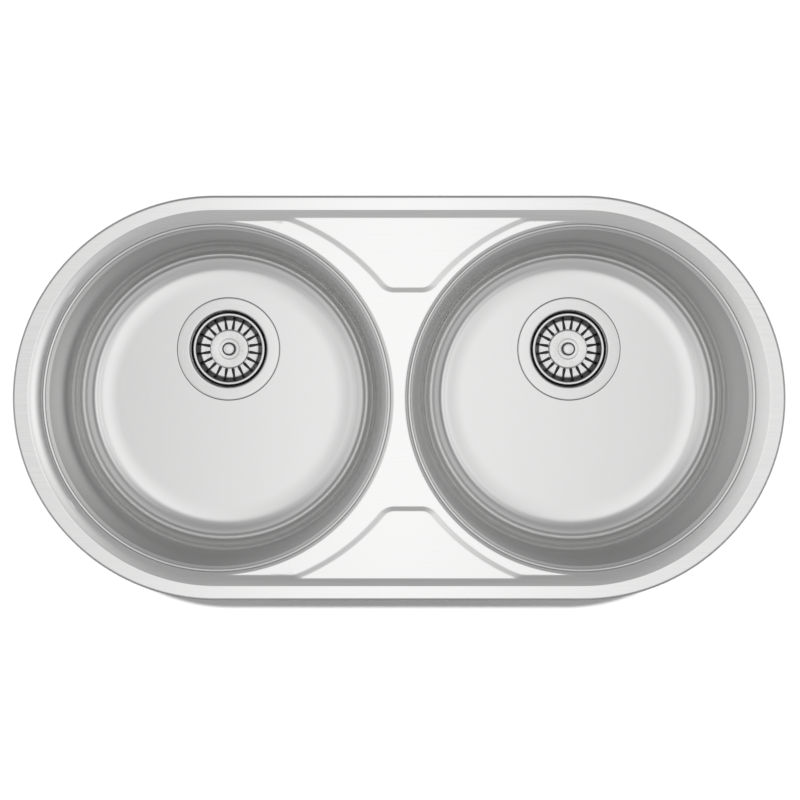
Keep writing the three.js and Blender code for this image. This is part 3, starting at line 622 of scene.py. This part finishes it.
# ---- Strainer flanges ----
# The flange and its cup are one turned-down pressing of polished stainless. It lies in the recess of the
# floor on a rubber ring, and its base has six round drain holes about the screw.
FLANGE_STEEL = ("#D6D6D6", "#DADAD9")
FLANGE_SHEET = 0.9
FLANGE_FACE = [
    (59.2, -0.4), (59.12, -0.1), (58.85, 0.1), (58.3, 0.2), (57.4, 0.25), (56.4, 0.27), (47.2, 0.3),
    *arc((46.0, -1.3), 1.6, 90, 180, 8),
    (44.1, -3.2), (43.4, -5.5), (43.1, -7.0), (42.95, -10.5), (42.7, -12.6), (42.3, -13.1),
    (41.9, -12.6), (41.6, -11.0), (41.4, -9.8), (41.0, -9.15), (40.4, -9.1), (39.8, -9.3),
    (39.4, -10.0), (38.2, -23.0), (37.8, -24.3), (33.7, -30.6), (33.0, -31.3), (32.2, -31.5),
    (31.0, -31.5),
]
CUP_FLOOR = -31.5
GROOVE = (41.2, 44)
GROOVE_TOP = -6
DRAIN_HOLES = 6
DRAIN_HOLE = 6.5
DRAIN_CIRCLE = 20
SCREW_HOLE = 3.2

# Painted shade: a dark grey, rough steel that shows no reflection, laid where shade falls: in the flange's
# groove, down the basket's steep walls and on the sloping side of each knob's head.
painted_shade_steel, tree, shader = new_material("painted_shade_stainless")
coords = add_node(tree, "ShaderNodeTexCoord").outputs["Object"]
grain = add_node(tree, "ShaderNodeTexNoise", {"Vector": coords, "Scale": 1 / 0.0015, "Detail": 2})
tint = two_tone(tree, grain, ("#76767A", "#88888B"))
gloss = add_node(tree, "ShaderNodeMapRange", {"Value": grain, 3: 0.36, 4: 0.48})
wire(tree, shader, Base_Color=tint, Roughness=gloss)
shader.inputs["Metallic"].default_value = 1

for hand, waste in WASTES.items():
    bm = bmesh.new()
    spun(bm, from_floor(FLANGE_FACE), 144, waste)
    shut(bm)
    base = open_edges(bm, level_with(BOWL_FLOOR + CUP_FLOOR))
    holes = [(waste, SCREW_HOLE)]
    for i in range(DRAIN_HOLES):
        turn = math.tau * i / DRAIN_HOLES
        place = (waste[0] + DRAIN_CIRCLE * math.cos(turn), waste[1] + DRAIN_CIRCLE * math.sin(turn))
        holes.append((place, DRAIN_HOLE))
    for centre, radius in holes:
        placed = Matrix.Translation((*centre, BOWL_FLOOR + CUP_FLOOR))
        rim = bmesh.ops.create_circle(bm, segments=32, radius=radius, matrix=placed)["verts"]
        base += dict.fromkeys(edge for vert in rim for edge in vert.link_edges)
    bmesh.ops.triangle_fill(bm, use_beauty=True, edges=base)
    thicken(bm, FLANGE_SHEET)
    # Polished stainless, mopped in rings: sharper reflections than the sink's own satin.
    polished = stainless_steel(
        f"polished_stainless_{hand}", FLANGE_STEEL, around(waste),
        streak=(4, 0.0009), roughness=(0.10, 0.15), relief=0.0000008,
    )

    # Painted shade: the faces in the groove take the dark painted-shade steel.
    def painted_shade_in_groove(face):
        spot = face.calc_center_median() - Vector((*waste, BOWL_FLOOR))
        return GROOVE[0] < spot.xy.length < GROOVE[1] and spot.z < GROOVE_TOP

    name, node = f"flange_pressing_{hand}", f"strainer_flange_{hand}"
    dress(bm, name, polished, "sink", "stainless_polished", node, second=painted_shade_steel, test=painted_shade_in_groove)


# ---- Strainer baskets ----
# The lift-out basket is a pressing of 0.8 mm polished stainless. A flat rim leads down a wall to a trough
# with twenty slots that taper outwards, and the raised crown in the middle has a shallow dish for the knob.
BASKET_STEEL = ("#D2D2D2", "#E4E4E3")
BASKET_SHEET = 0.8
BASKET_FACE = [
    (41.4, -8.3), (41.1, -8.05), (40.5, -8.0), (39.4, -8.0), (38.9, -8.08), (38.45, -8.4), (38.2, -8.95),
    (37.44, -11.0), (36.3, -14.0), (34.9, -17.6), (34.2, -19.3), (33.7, -20.1), (32.8, -20.45),
    (31.8, -20.5), (29.0, -20.5), (26.5, -20.5), (24.6, -20.5), (24.0, -20.5), (23.4, -20.5),
    (23.05, -20.5), (22.9, -20.45), (22.8, -20.1), (22.7, -19.3), (22.5, -15.0), (22.35, -13.7),
    (22.0, -13.2), (21.4, -13.0), (19.8, -13.0), (13.0, -13.0), (12.4, -13.04), (11.9, -13.15),
    (11.3, -13.29), (10.8, -13.34), (10.2, -13.35), (2.3, -13.35),
]
SLOTS = 20
COLUMNS = 6
SLOT_START = 22.9
SLOT_END = 40.9
SLOT_INNER = 2.0
SLOT_OUTER = 0.65
SLOT_LEAST = 0.05
SLOT_ROUNDING = 1.1
SLOT_TOP = -11
WALL_START = 34
STEEP = 0.6


def slot_half_width(radius):
    """Half the width of a slot at a radius: round at its inner end, then narrowing outwards."""
    reach = min((radius - SLOT_START) / SLOT_ROUNDING, 1)
    rounding = SLOT_INNER * math.sqrt(max(1 - (1 - reach) ** 2, 0))
    share = (radius - SLOT_START) / (SLOT_END - SLOT_START)
    return max(min(rounding, SLOT_INNER + (SLOT_OUTER - SLOT_INNER) * share), SLOT_LEAST)


def cut_slots(bm):
    """Cuts the slots in a basket spun about Z. Of each slot's columns of points, the middle three make it.

    The two beside the middle are moved to the slot's sides, and the faces between them go.
    """
    column_turn = math.tau / (SLOTS * COLUMNS)
    on_middle = set()
    for vert in bm.verts:
        radius = vert.co.xy.length
        column = round(math.atan2(vert.co.y, vert.co.x) / column_turn)
        off_middle = column % COLUMNS - COLUMNS // 2
        if radius < SLOT_START - 0.01 or vert.co.z > SLOT_TOP + 0.01 or abs(off_middle) > 1:
            continue
        if off_middle == 0:
            on_middle.add(vert)
            continue
        turn = (column - off_middle) * column_turn + off_middle * slot_half_width(radius) / radius
        vert.co.x, vert.co.y = radius * math.cos(turn), radius * math.sin(turn)
    cut = [face for face in bm.faces if sum(vert in on_middle for vert in face.verts) == 2]
    bmesh.ops.delete(bm, geom=cut, context="FACES")


for hand, waste in WASTES.items():
    bm = bmesh.new()
    spun(bm, BASKET_FACE, SLOTS * COLUMNS)
    shut(bm)
    cut_slots(bm)
    bmesh.ops.translate(bm, vec=(*waste, BOWL_FLOOR), verts=bm.verts)
    thicken(bm, BASKET_SHEET)
    # Polished stainless, left by the press with faint ripples between the slots.
    rippled = stainless_steel(
        f"pressed_stainless_{hand}", BASKET_STEEL, around(waste),
        streak=(7, 0.0011), roughness=(0.12, 0.22), relief=0.000003,
    )

    # Painted shade: the basket's steep walls take the dark painted-shade steel.
    def painted_shade_on_wall(face):
        out = face.calc_center_median().xy - Vector(waste)
        return out.length > WALL_START and abs(face.normal.z) < STEEP

    name, body, node = f"slotted_basket_{hand}", f"{hand}_basket", f"basket_{hand}"
    dress(bm, name, rippled, body, "stainless_polished", node, second=painted_shade_steel, test=painted_shade_on_wall)


# ---- Knobs and pins ----
# The knob that lifts the basket is turned stainless with a nearly flat head on a neck. A riveted pin goes
# up into it through the basket and the rubber plug.
KNOB = [
    (0, -3.5), (3, -3.51), (5.4, -3.56), (6.0, -3.72), (6.4, -4.05), (7.1, -4.75), (7.5, -5.2),
    (7.7, -5.7), (7.66, -6.2), (7.4, -6.75), (6.8, -7.2), (5.4, -7.75), (4.2, -8.3), (3.6, -9.0),
    (3.4, -9.8), (3.4, -12.6), (3.4, -13.35), (2.1, -13.35), (2.1, -7.2), (0, -7.2),
]
PIN = [
    (0, -7.5), (1.5, -7.5), (1.8, -7.8), (1.8, -24.9), (4.4, -24.9), (4.9, -25.1), (5.0, -25.5),
    (4.8, -25.8), (4.2, -26.1), (0, -26.1),
]
GRIP_FOOT = -6.6
GRIP_LEAN = (-0.4, 0.85)


def painted_shade_on_grip(face):
    """Finds the faces for painted shade: the sloping side of a knob's head, not its top, underside or neck.
    """
    high = face.calc_center_median().z > BOWL_FLOOR + GRIP_FOOT
    return high and GRIP_LEAN[0] < face.normal.z < GRIP_LEAN[1]


for hand, waste in WASTES.items():
    # Turned stainless: fine rings from the lathe, which stretch each highlight to a short arc.
    turned = stainless_steel(
        f"turned_stainless_{hand}", BASKET_STEEL, around(waste),
        streak=(2, 0.0006), roughness=(0.12, 0.2), relief=0.0000012,
    )
    for kind, profile, shade_test in (("knob", KNOB, painted_shade_on_grip), ("pin", PIN, None)):
        bm = bmesh.new()
        spun(bm, from_floor(profile), 64, waste)
        shut(bm)
        name, body, node = f"turned_{kind}_{hand}", f"{hand}_basket", f"basket_{kind}_{hand}"
        dress(bm, name, turned, body, "stainless_polished", node, second=painted_shade_steel, test=shade_test)


# ---- Rubber plugs and gaskets ----
# The plug under the basket shuts the cup's conical seat when the basket is turned down. One rubber ring
# beds the flange in the recess, and another seals the waste body under the bowl. All are moulded black EPDM.
PLUG = [
    (2.1, -24.3), (2.4, -24.6), (35.6, -24.6), (36.4, -24.4), (36.7, -24.0), (35.4, -22.8),
    (33.9, -21.8), (33.2, -21.6), (12.0, -21.6), (11.4, -21.9), (10.6, -21.9), (10.0, -21.6),
    (2.4, -21.6), (2.1, -21.9),
]
FLANGE_RING = [
    (46.7, -1.6), (46.8, -1.7), (56.9, -1.7), (57.0, -1.6), (57.0, -1.0), (56.9, -0.9), (46.8, -0.9),
    (46.7, -1.0),
]
WASTE_RING = [
    (46.6, -3.3), (46.9, -3.1), (49.6, -3.1), (50.0, -3.4), (50.6, -3.4), (51.0, -3.1), (56.6, -3.1),
    (57.0, -3.4), (57.0, -5.8), (56.6, -6.1), (51.0, -6.1), (50.6, -5.8), (50.0, -5.8), (49.6, -6.1),
    (46.9, -6.1), (46.6, -5.9),
]

# Black EPDM rubber, moulded: a dull near-black with a fine even grain from the mould.
rubber, tree, shader = new_material("moulded_epdm_rubber")
coords = add_node(tree, "ShaderNodeTexCoord").outputs["Object"]
grain = add_node(tree, "ShaderNodeTexNoise", {"Vector": coords, "Scale": 1 / 0.0006, "Detail": 3})
tint = two_tone(tree, grain, ("#17181A", "#242628"))
gloss = add_node(tree, "ShaderNodeMapRange", {"Value": grain, 3: 0.62, 4: 0.82})
relief = add_node(tree, "ShaderNodeBump", {"Height": grain, "Strength": 0.5, "Distance": 0.00004})
wire(tree, shader, Base_Color=tint, Roughness=gloss, Normal=relief)
shader.inputs["IOR"].default_value = 1.52

for hand, waste in WASTES.items():
    rings = (
        ("rubber_plug", PLUG, f"{hand}_basket", "basket_seal"),
        ("flange_ring", FLANGE_RING, "sink", "flange_gasket"),
        ("waste_ring", WASTE_RING, "sink", "waste_gasket"),
    )
    for name, profile, body, node in rings:
        bm = bmesh.new()
        spun(bm, from_floor(profile), 96, waste, closed=True)
        shut(bm)
        dress(bm, f"{name}_{hand}", rubber, body, "black_rubber", f"{node}_{hand}")


# ---- Waste bodies ----
# Each waste body is moulded white polypropylene. Its flange presses the rubber ring up against the bowl,
# stiffened by ribs down the cup. The outlet ends in a coarse 1 1/2 inch thread, and a boss on four spokes
# takes the screw. Ribs and spokes are plates, given by their radii and heights.
BODY_SHELL = [
    (46.6, -6.7), (46.9, -6.4), (56.5, -6.4), (57.0, -6.8), (57.0, -9.6), (56.6, -10.0), (50.2, -10.0),
    (49.3, -10.5), (48.9, -11.4), (40.6, -36.4), (39.8, -38.4), (38.4, -40.0), (25.2, -50.2),
    (24.0, -51.4), (22.7, -53.2), (22.5, -54.0),
]
BODY_LINING = [
    (22.3, -75.2), (21.6, -76.0), (20.2, -76.0), (19.5, -75.4), (19.5, -49.6), (19.8, -49.0),
    (36.4, -37.4), (37.1, -36.6), (46.4, -7.3),
]
THREAD_TOP = -54.0
THREAD_PITCH = 2.309
THREAD_TURNS = 9
THREAD_ROOT = 22.5
THREAD_CREST = 23.85
THREAD_FORM = ((THREAD_ROOT, 0.35), (THREAD_CREST, 0.95), (THREAD_CREST, 1.3), (THREAD_ROOT, 1.9))
RIBS = 12
RIB = ((47.0, -9.0), (54.5, -9.6), (40.6, -35.2), (39.4, -36.0))
RIB_THICKNESS = 2
BOSS = [(3.3, -52), (6.6, -52), (7.0, -51.6), (7.0, -33.2), (6.5, -32.7), (3.3, -32.7)]
SPOKES = 4
SPOKE = ((5, -51.2), (20.6, -51.2), (20.6, -49.6), (37.4, -38.2), (5, -38.2))
SPOKE_THICKNESS = 2.6

# White polypropylene, injection moulded: slightly waxy, with a fine sparked texture from the mould.
plastic, tree, shader = new_material("moulded_white_polypropylene")
coords = add_node(tree, "ShaderNodeTexCoord").outputs["Object"]
sparks = add_node(tree, "ShaderNodeTexNoise", {"Vector": coords, "Scale": 1 / 0.0009, "Detail": 3})
clouds = add_node(tree, "ShaderNodeTexNoise", {"Vector": coords, "Scale": 1 / 0.03, "Detail": 2})
tint = two_tone(tree, clouds, ("#E0E2E0", "#E8EAE9"))
gloss = add_node(tree, "ShaderNodeMapRange", {"Value": sparks, 3: 0.38, 4: 0.52})
relief = add_node(tree, "ShaderNodeBump", {"Height": sparks, "Strength": 0.4, "Distance": 0.00004})
wire(tree, shader, Base_Color=tint, Roughness=gloss, Normal=relief)
shader.inputs["IOR"].default_value = 1.49
shader.inputs["Subsurface Weight"].default_value = 0.1
shader.inputs["Subsurface Radius"].default_value = (0.002, 0.002, 0.002)


def upright_plate(bm, outline, thickness):
    """Adds an upright plate, from its outline in X and Z, about Y = 0, and gives back its points."""
    near = [bm.verts.new((x, -thickness / 2, z)) for x, z in outline]
    made = bmesh.ops.extrude_face_region(bm, geom=[bm.faces.new(near)], use_keep_orig=True)["geom"]
    far = points_of(made)
    bmesh.ops.translate(bm, vec=(0, thickness, 0), verts=far)
    return near + far


def plates_about(bm, outline, thickness, count):
    """Adds a ring of upright plates about Z."""
    for i in range(count):
        plate = upright_plate(bm, outline, thickness)
        turned = Matrix.Rotation(math.tau * i / count, 3, "Z")
        bmesh.ops.rotate(bm, cent=(0, 0, 0), matrix=turned, verts=plate)


thread_tops = [THREAD_TOP - i * THREAD_PITCH for i in range(THREAD_TURNS)]
thread = [(radius, top - drop) for top in thread_tops for radius, drop in THREAD_FORM]
for hand, waste in WASTES.items():
    bm = bmesh.new()
    spun(bm, [*BODY_SHELL, *thread, *BODY_LINING], 96, closed=True)
    spun(bm, BOSS, 48, closed=True)
    plates_about(bm, RIB, RIB_THICKNESS, RIBS)
    plates_about(bm, SPOKE, SPOKE_THICKNESS, SPOKES)
    shut(bm)
    bmesh.ops.translate(bm, vec=(*waste, BOWL_FLOOR), verts=bm.verts)
    dress(bm, f"moulded_waste_body_{hand}", plastic, "sink", "white_polypropylene", f"waste_body_{hand}")


# ---- Waste screws ----
# One stainless cheese-head screw draws the flange and the waste body together from inside the cup. It is
# slotted, so that a coin or a screwdriver turns it.
SCREW_HEAD = [(4.9, -28.2), (5.3, -28.35), (5.5, -28.7), (5.5, -31.0), (5.3, -31.2), (2.9, -31.2)]
SCREW_CREST = 2.9
SCREW_ROOT = 2.5
SCREW_THREAD_TOP = -35.0
SCREW_RIDGES = 11
SCREW_PITCH = 1.2
SCREW_TIP = [(2.9, -48.2), (2.5, -49.4), (2.0, -50.0), (0, -50.0)]
COIN_SLOT = (4.2, 0.6, 1.5)

screw_thread = []
for i in range(SCREW_RIDGES):
    ridge = SCREW_THREAD_TOP - i * SCREW_PITCH
    screw_thread += [(SCREW_CREST, ridge), (SCREW_ROOT, ridge - SCREW_PITCH / 2)]
for hand, waste in WASTES.items():
    bm = bmesh.new()
    spun(bm, [*SCREW_HEAD, *screw_thread, *SCREW_TIP], 48)
    shut(bm)
    top = SCREW_HEAD[0][1]
    rim = open_edges(bm, level_with(top))
    half_length, half_width, depth = COIN_SLOT
    ends = ((1, 1), (-1, 1), (-1, -1), (1, -1))
    mouth = [bm.verts.new((x * half_length, y * half_width, top)) for x, y in ends]
    mouth_edges = [bm.edges.new((mouth[i], mouth[(i + 1) % 4])) for i in range(4)]
    bmesh.ops.triangle_fill(bm, use_beauty=True, edges=rim + mouth_edges)
    foot = drawn_on(bm, mouth_edges, lambda co: co - Vector((0, 0, depth)))
    bmesh.ops.triangle_fill(bm, use_beauty=True, edges=foot)
    bmesh.ops.recalc_face_normals(bm, faces=bm.faces)
    bmesh.ops.translate(bm, vec=(*waste, BOWL_FLOOR), verts=bm.verts)
    # Turned stainless, left as it came from the lathe: fine rings and a duller shine than the basket's.
    bright = stainless_steel(
        f"screw_stainless_{hand}", BASKET_STEEL, around(waste),
        streak=(2, 0.0005), roughness=(0.2, 0.32), relief=0.000001,
    )
    dress(bm, f"slotted_screw_{hand}", bright, "sink", "stainless_polished", f"waste_screw_{hand}")


# ---- Rim seal ----
# A strip of grey closed-cell polyethylene foam is stuck under the rim, and is squeezed against the worktop
# all round. It is one section, carried along the front, round the ends and back along the rear.
SEAL = [(3.5, 0), (3.2, 0.4), (3.2, 3.5), (3.5, 3.9), (8.7, 3.9), (9.0, 3.5), (9.0, 0.4), (8.7, 0)]

# Closed-cell polyethylene foam: matt grey skin with small burst cells. The cells are drawn 1 mm wide.
foam, tree, shader = new_material("closed_cell_polyethylene_foam")
coords = add_node(tree, "ShaderNodeTexCoord").outputs["Object"]
cells = add_node(tree, "ShaderNodeTexVoronoi", {"Vector": coords, "Scale": 1 / 0.001})
tint = two_tone(tree, cells, ("#3E4144", "#5C5F62"), (0, 0.5))
relief = add_node(tree, "ShaderNodeBump", {"Height": cells, "Strength": 0.7, "Distance": 0.0002})
wire(tree, shader, Base_Color=tint, Normal=relief)
shader.inputs["Roughness"].default_value = 0.9
shader.inputs["IOR"].default_value = 1.5

bm = bmesh.new()
section = [bm.verts.new((END_REACH, inset - RIM_RADIUS, height)) for inset, height in SEAL]
section += [bm.edges.new((section[i], section[(i + 1) % len(SEAL)])) for i in range(len(SEAL))]
for side in (1, -1):
    bend = {"cent": (side * END_REACH, 0, 0), "axis": (0, 0, 1), "angle": math.pi, "steps": 64}
    section = bmesh.ops.spin(bm, geom=section, **bend)["geom_last"]
    loop = [item for item in section if isinstance(item, bmesh.types.BMEdge)]
    made = bmesh.ops.extrude_edge_only(bm, edges=loop)["geom"]
    moved = points_of(made)
    bmesh.ops.translate(bm, vec=(-side * 2 * END_REACH, 0, 0), verts=moved)
    section = moved + edges_between(made, moved)
shut(bm)
dress(bm, "foam_rim_seal", foam, "sink", "grey_foam", "rim_seal")


# ---- Sound pads ----
# A round pad of bitumen felt, rolled and cut, is stuck under the floor of each bowl in front of the waste.
# It takes the ring out of falling water.
PAD_PLACE = -62
PAD = [
    (0, -1.1), (50.6, -1.1), (51.6, -1.3), (52.0, -1.9), (51.9, -2.8), (51.2, -3.4), (50.2, -3.6),
    (46.0, -3.6), (45.4, -3.4), (44.6, -3.4), (44.0, -3.6), (0, -3.6),
]

# Bitumen felt: tarry dark grey with a pebbled face and a slight sheen where it was rolled.
bitumen, tree, shader = new_material("bitumen_felt")
coords = add_node(tree, "ShaderNodeTexCoord").outputs["Object"]
pebbles = {"Vector": coords, "Scale": 1 / 0.0028}
pebbles = add_node(tree, "ShaderNodeTexVoronoi", pebbles, feature="SMOOTH_F1")
grit = add_node(tree, "ShaderNodeTexNoise", {"Vector": coords, "Scale": 1 / 0.0008, "Detail": 4})
tint = two_tone(tree, grit, ("#303234", "#46484A"))
gloss = add_node(tree, "ShaderNodeMapRange", {"Value": grit, 3: 0.6, 4: 0.9})
pebbled = add_node(tree, "ShaderNodeBump", {"Height": pebbles, "Strength": 0.8, "Distance": 0.0004})
gritty = {"Height": grit, "Strength": 0.5, "Distance": 0.0001, "Normal": pebbled}
wire(tree, shader, Base_Color=tint, Roughness=gloss, Normal=add_node(tree, "ShaderNodeBump", gritty))

for hand, side in SIDES.items():
    bm = bmesh.new()
    spun(bm, from_floor(PAD), 96, (side * BOWL_SPREAD, PAD_PLACE))
    shut(bm)
    dress(bm, f"bitumen_pad_{hand}", bitumen, "sink", "bitumen", f"sound_pad_{hand}")


# ---- Fixing clips ----
# Eight clips hold the sink down. Each has a folded steel bracket spot-welded under the deck, and a long
# screw with a washer that lifts a swinging claw against the underside of the worktop. All are zinc-plated
# mild steel. A clip is drawn at the origin with the edge of the cut-out at X = 0, and then put in its place.
CUT_OUT_RADIUS = 210
CLIP_STRAIGHT = 150
CLIP_TURN = 35
CLIP_AXIS = (-6.5, 0)
BRACKET_STRIP = 1.5
BRACKET_WIDTH = 16
BRACKET_PATH = [
    (-15, -0.5), (-12.9, -0.5), (-12.6, -0.62), (-12.5, -0.9), (-12.5, -14.2), (-12.3, -14.75),
    (-11.8, -15), (-1.5, -15),
]
CLAW_STRIP = 2
CLAW_WIDTH = 14
CLAW_PATH = [(-12, -45), (4.4, -45), (5.1, -44.8), (5.5, -44.1), (5.5, -42)]
WASHER = [
    (2.8, -48.2), (2.9, -48.3), (5.2, -48.3), (5.5, -48.1), (5.5, -47.5), (5.3, -47.3), (2.9, -47.3),
    (2.8, -47.4),
]
# The real thread has a pitch of 0.8 mm. It is drawn with a pitch of 1 mm.
CLIP_RIDGES = 33
CLIP_THREAD = [xz for i in range(CLIP_RIDGES) for xz in ((2.1, -14.2 - i), (2.5, -14.7 - i))]
CLIP_SCREW = [(0, -13), (1.9, -13), (2.3, -13.4), *CLIP_THREAD, (2.5, -48.2), (2.5, -49)]
CLIP_HEAD = [(0, -48.6), (3.7, -48.6), (4.0, -48.8), (4.0, -51.8), (3.7, -52), (0, -52)]

# Zinc-plated steel: pale blue-grey with soft crystalline patches about 2 mm across, and a mixed gloss.
zinc, tree, shader = new_material("zinc_plated_steel")
coords = add_node(tree, "ShaderNodeTexCoord").outputs["Object"]
crystals = add_node(tree, "ShaderNodeTexVoronoi", {"Vector": coords, "Scale": 1 / 0.002})
patches = add_node(tree, "ShaderNodeTexNoise", {"Vector": coords, "Scale": 1 / 0.006, "Detail": 3})
tint = two_tone(tree, crystals.outputs["Color"], ("#AEB5BA", "#C6CBCE"), (0.2, 0.8))
gloss = add_node(tree, "ShaderNodeMapRange", {"Value": patches, 3: 0.28, 4: 0.5})
relief = add_node(tree, "ShaderNodeBump", {"Height": patches, "Strength": 0.4, "Distance": 0.00005})
wire(tree, shader, Base_Color=tint, Roughness=gloss, Normal=relief)
shader.inputs["Metallic"].default_value = 1


def folded_strip(bm, path, thickness, width):
    """A folded strip of metal. The path is its face in side view, and the metal lies under and behind it."""
    under = []
    for i, point in enumerate(path):
        before = Vector(path[max(i - 1, 0)])
        after = Vector(path[min(i + 1, len(path) - 1)])
        run = (after - before).normalized()
        under.append(Vector(point) + Vector((run.y, -run.x)) * thickness)
    upright_plate(bm, [*path, *reversed(under)], width)


clips = []
for across, rear in ((1, 1), (-1, 1), (-1, -1), (1, -1)):
    clips.append(((across * CLIP_STRAIGHT, rear * CUT_OUT_RADIUS), rear * math.pi / 2))
    turn = math.radians(CLIP_TURN)
    corner = Vector((across * math.cos(turn), rear * math.sin(turn))) * CUT_OUT_RADIUS
    clips.append(((across * END_REACH + corner.x, corner.y), math.atan2(corner.y, corner.x)))

for number, (place, turn) in enumerate(clips, 1):
    placed = Matrix.Translation((*place, 0)) @ Matrix.Rotation(turn, 4, "Z")
    bracket = bmesh.new()
    folded_strip(bracket, BRACKET_PATH, BRACKET_STRIP, BRACKET_WIDTH)
    claw = bmesh.new()
    folded_strip(claw, CLAW_PATH, CLAW_STRIP, CLAW_WIDTH)
    washer = bmesh.new()
    spun(washer, WASHER, 40, CLIP_AXIS, closed=True)
    screw = bmesh.new()
    spun(screw, CLIP_SCREW, 24, CLIP_AXIS)
    spun(screw, CLIP_HEAD, 6, CLIP_AXIS)
    for bm, name, node, body in (
        (bracket, "folded_bracket", "bracket", "sink"),
        (claw, "hooked_claw", "claw", f"clip_{number}_jaw"),
        (washer, "flat_washer", "washer", f"clip_{number}_seat"),
        (screw, "hex_screw", "screw", f"clip_{number}_bolt"),
    ):
        shut(bm)
        bmesh.ops.transform(bm, matrix=placed, verts=bm.verts)
        dress(bm, f"clip_{number}_{name}", zinc, body, "zinc_steel", f"clip_{number}_{node}")
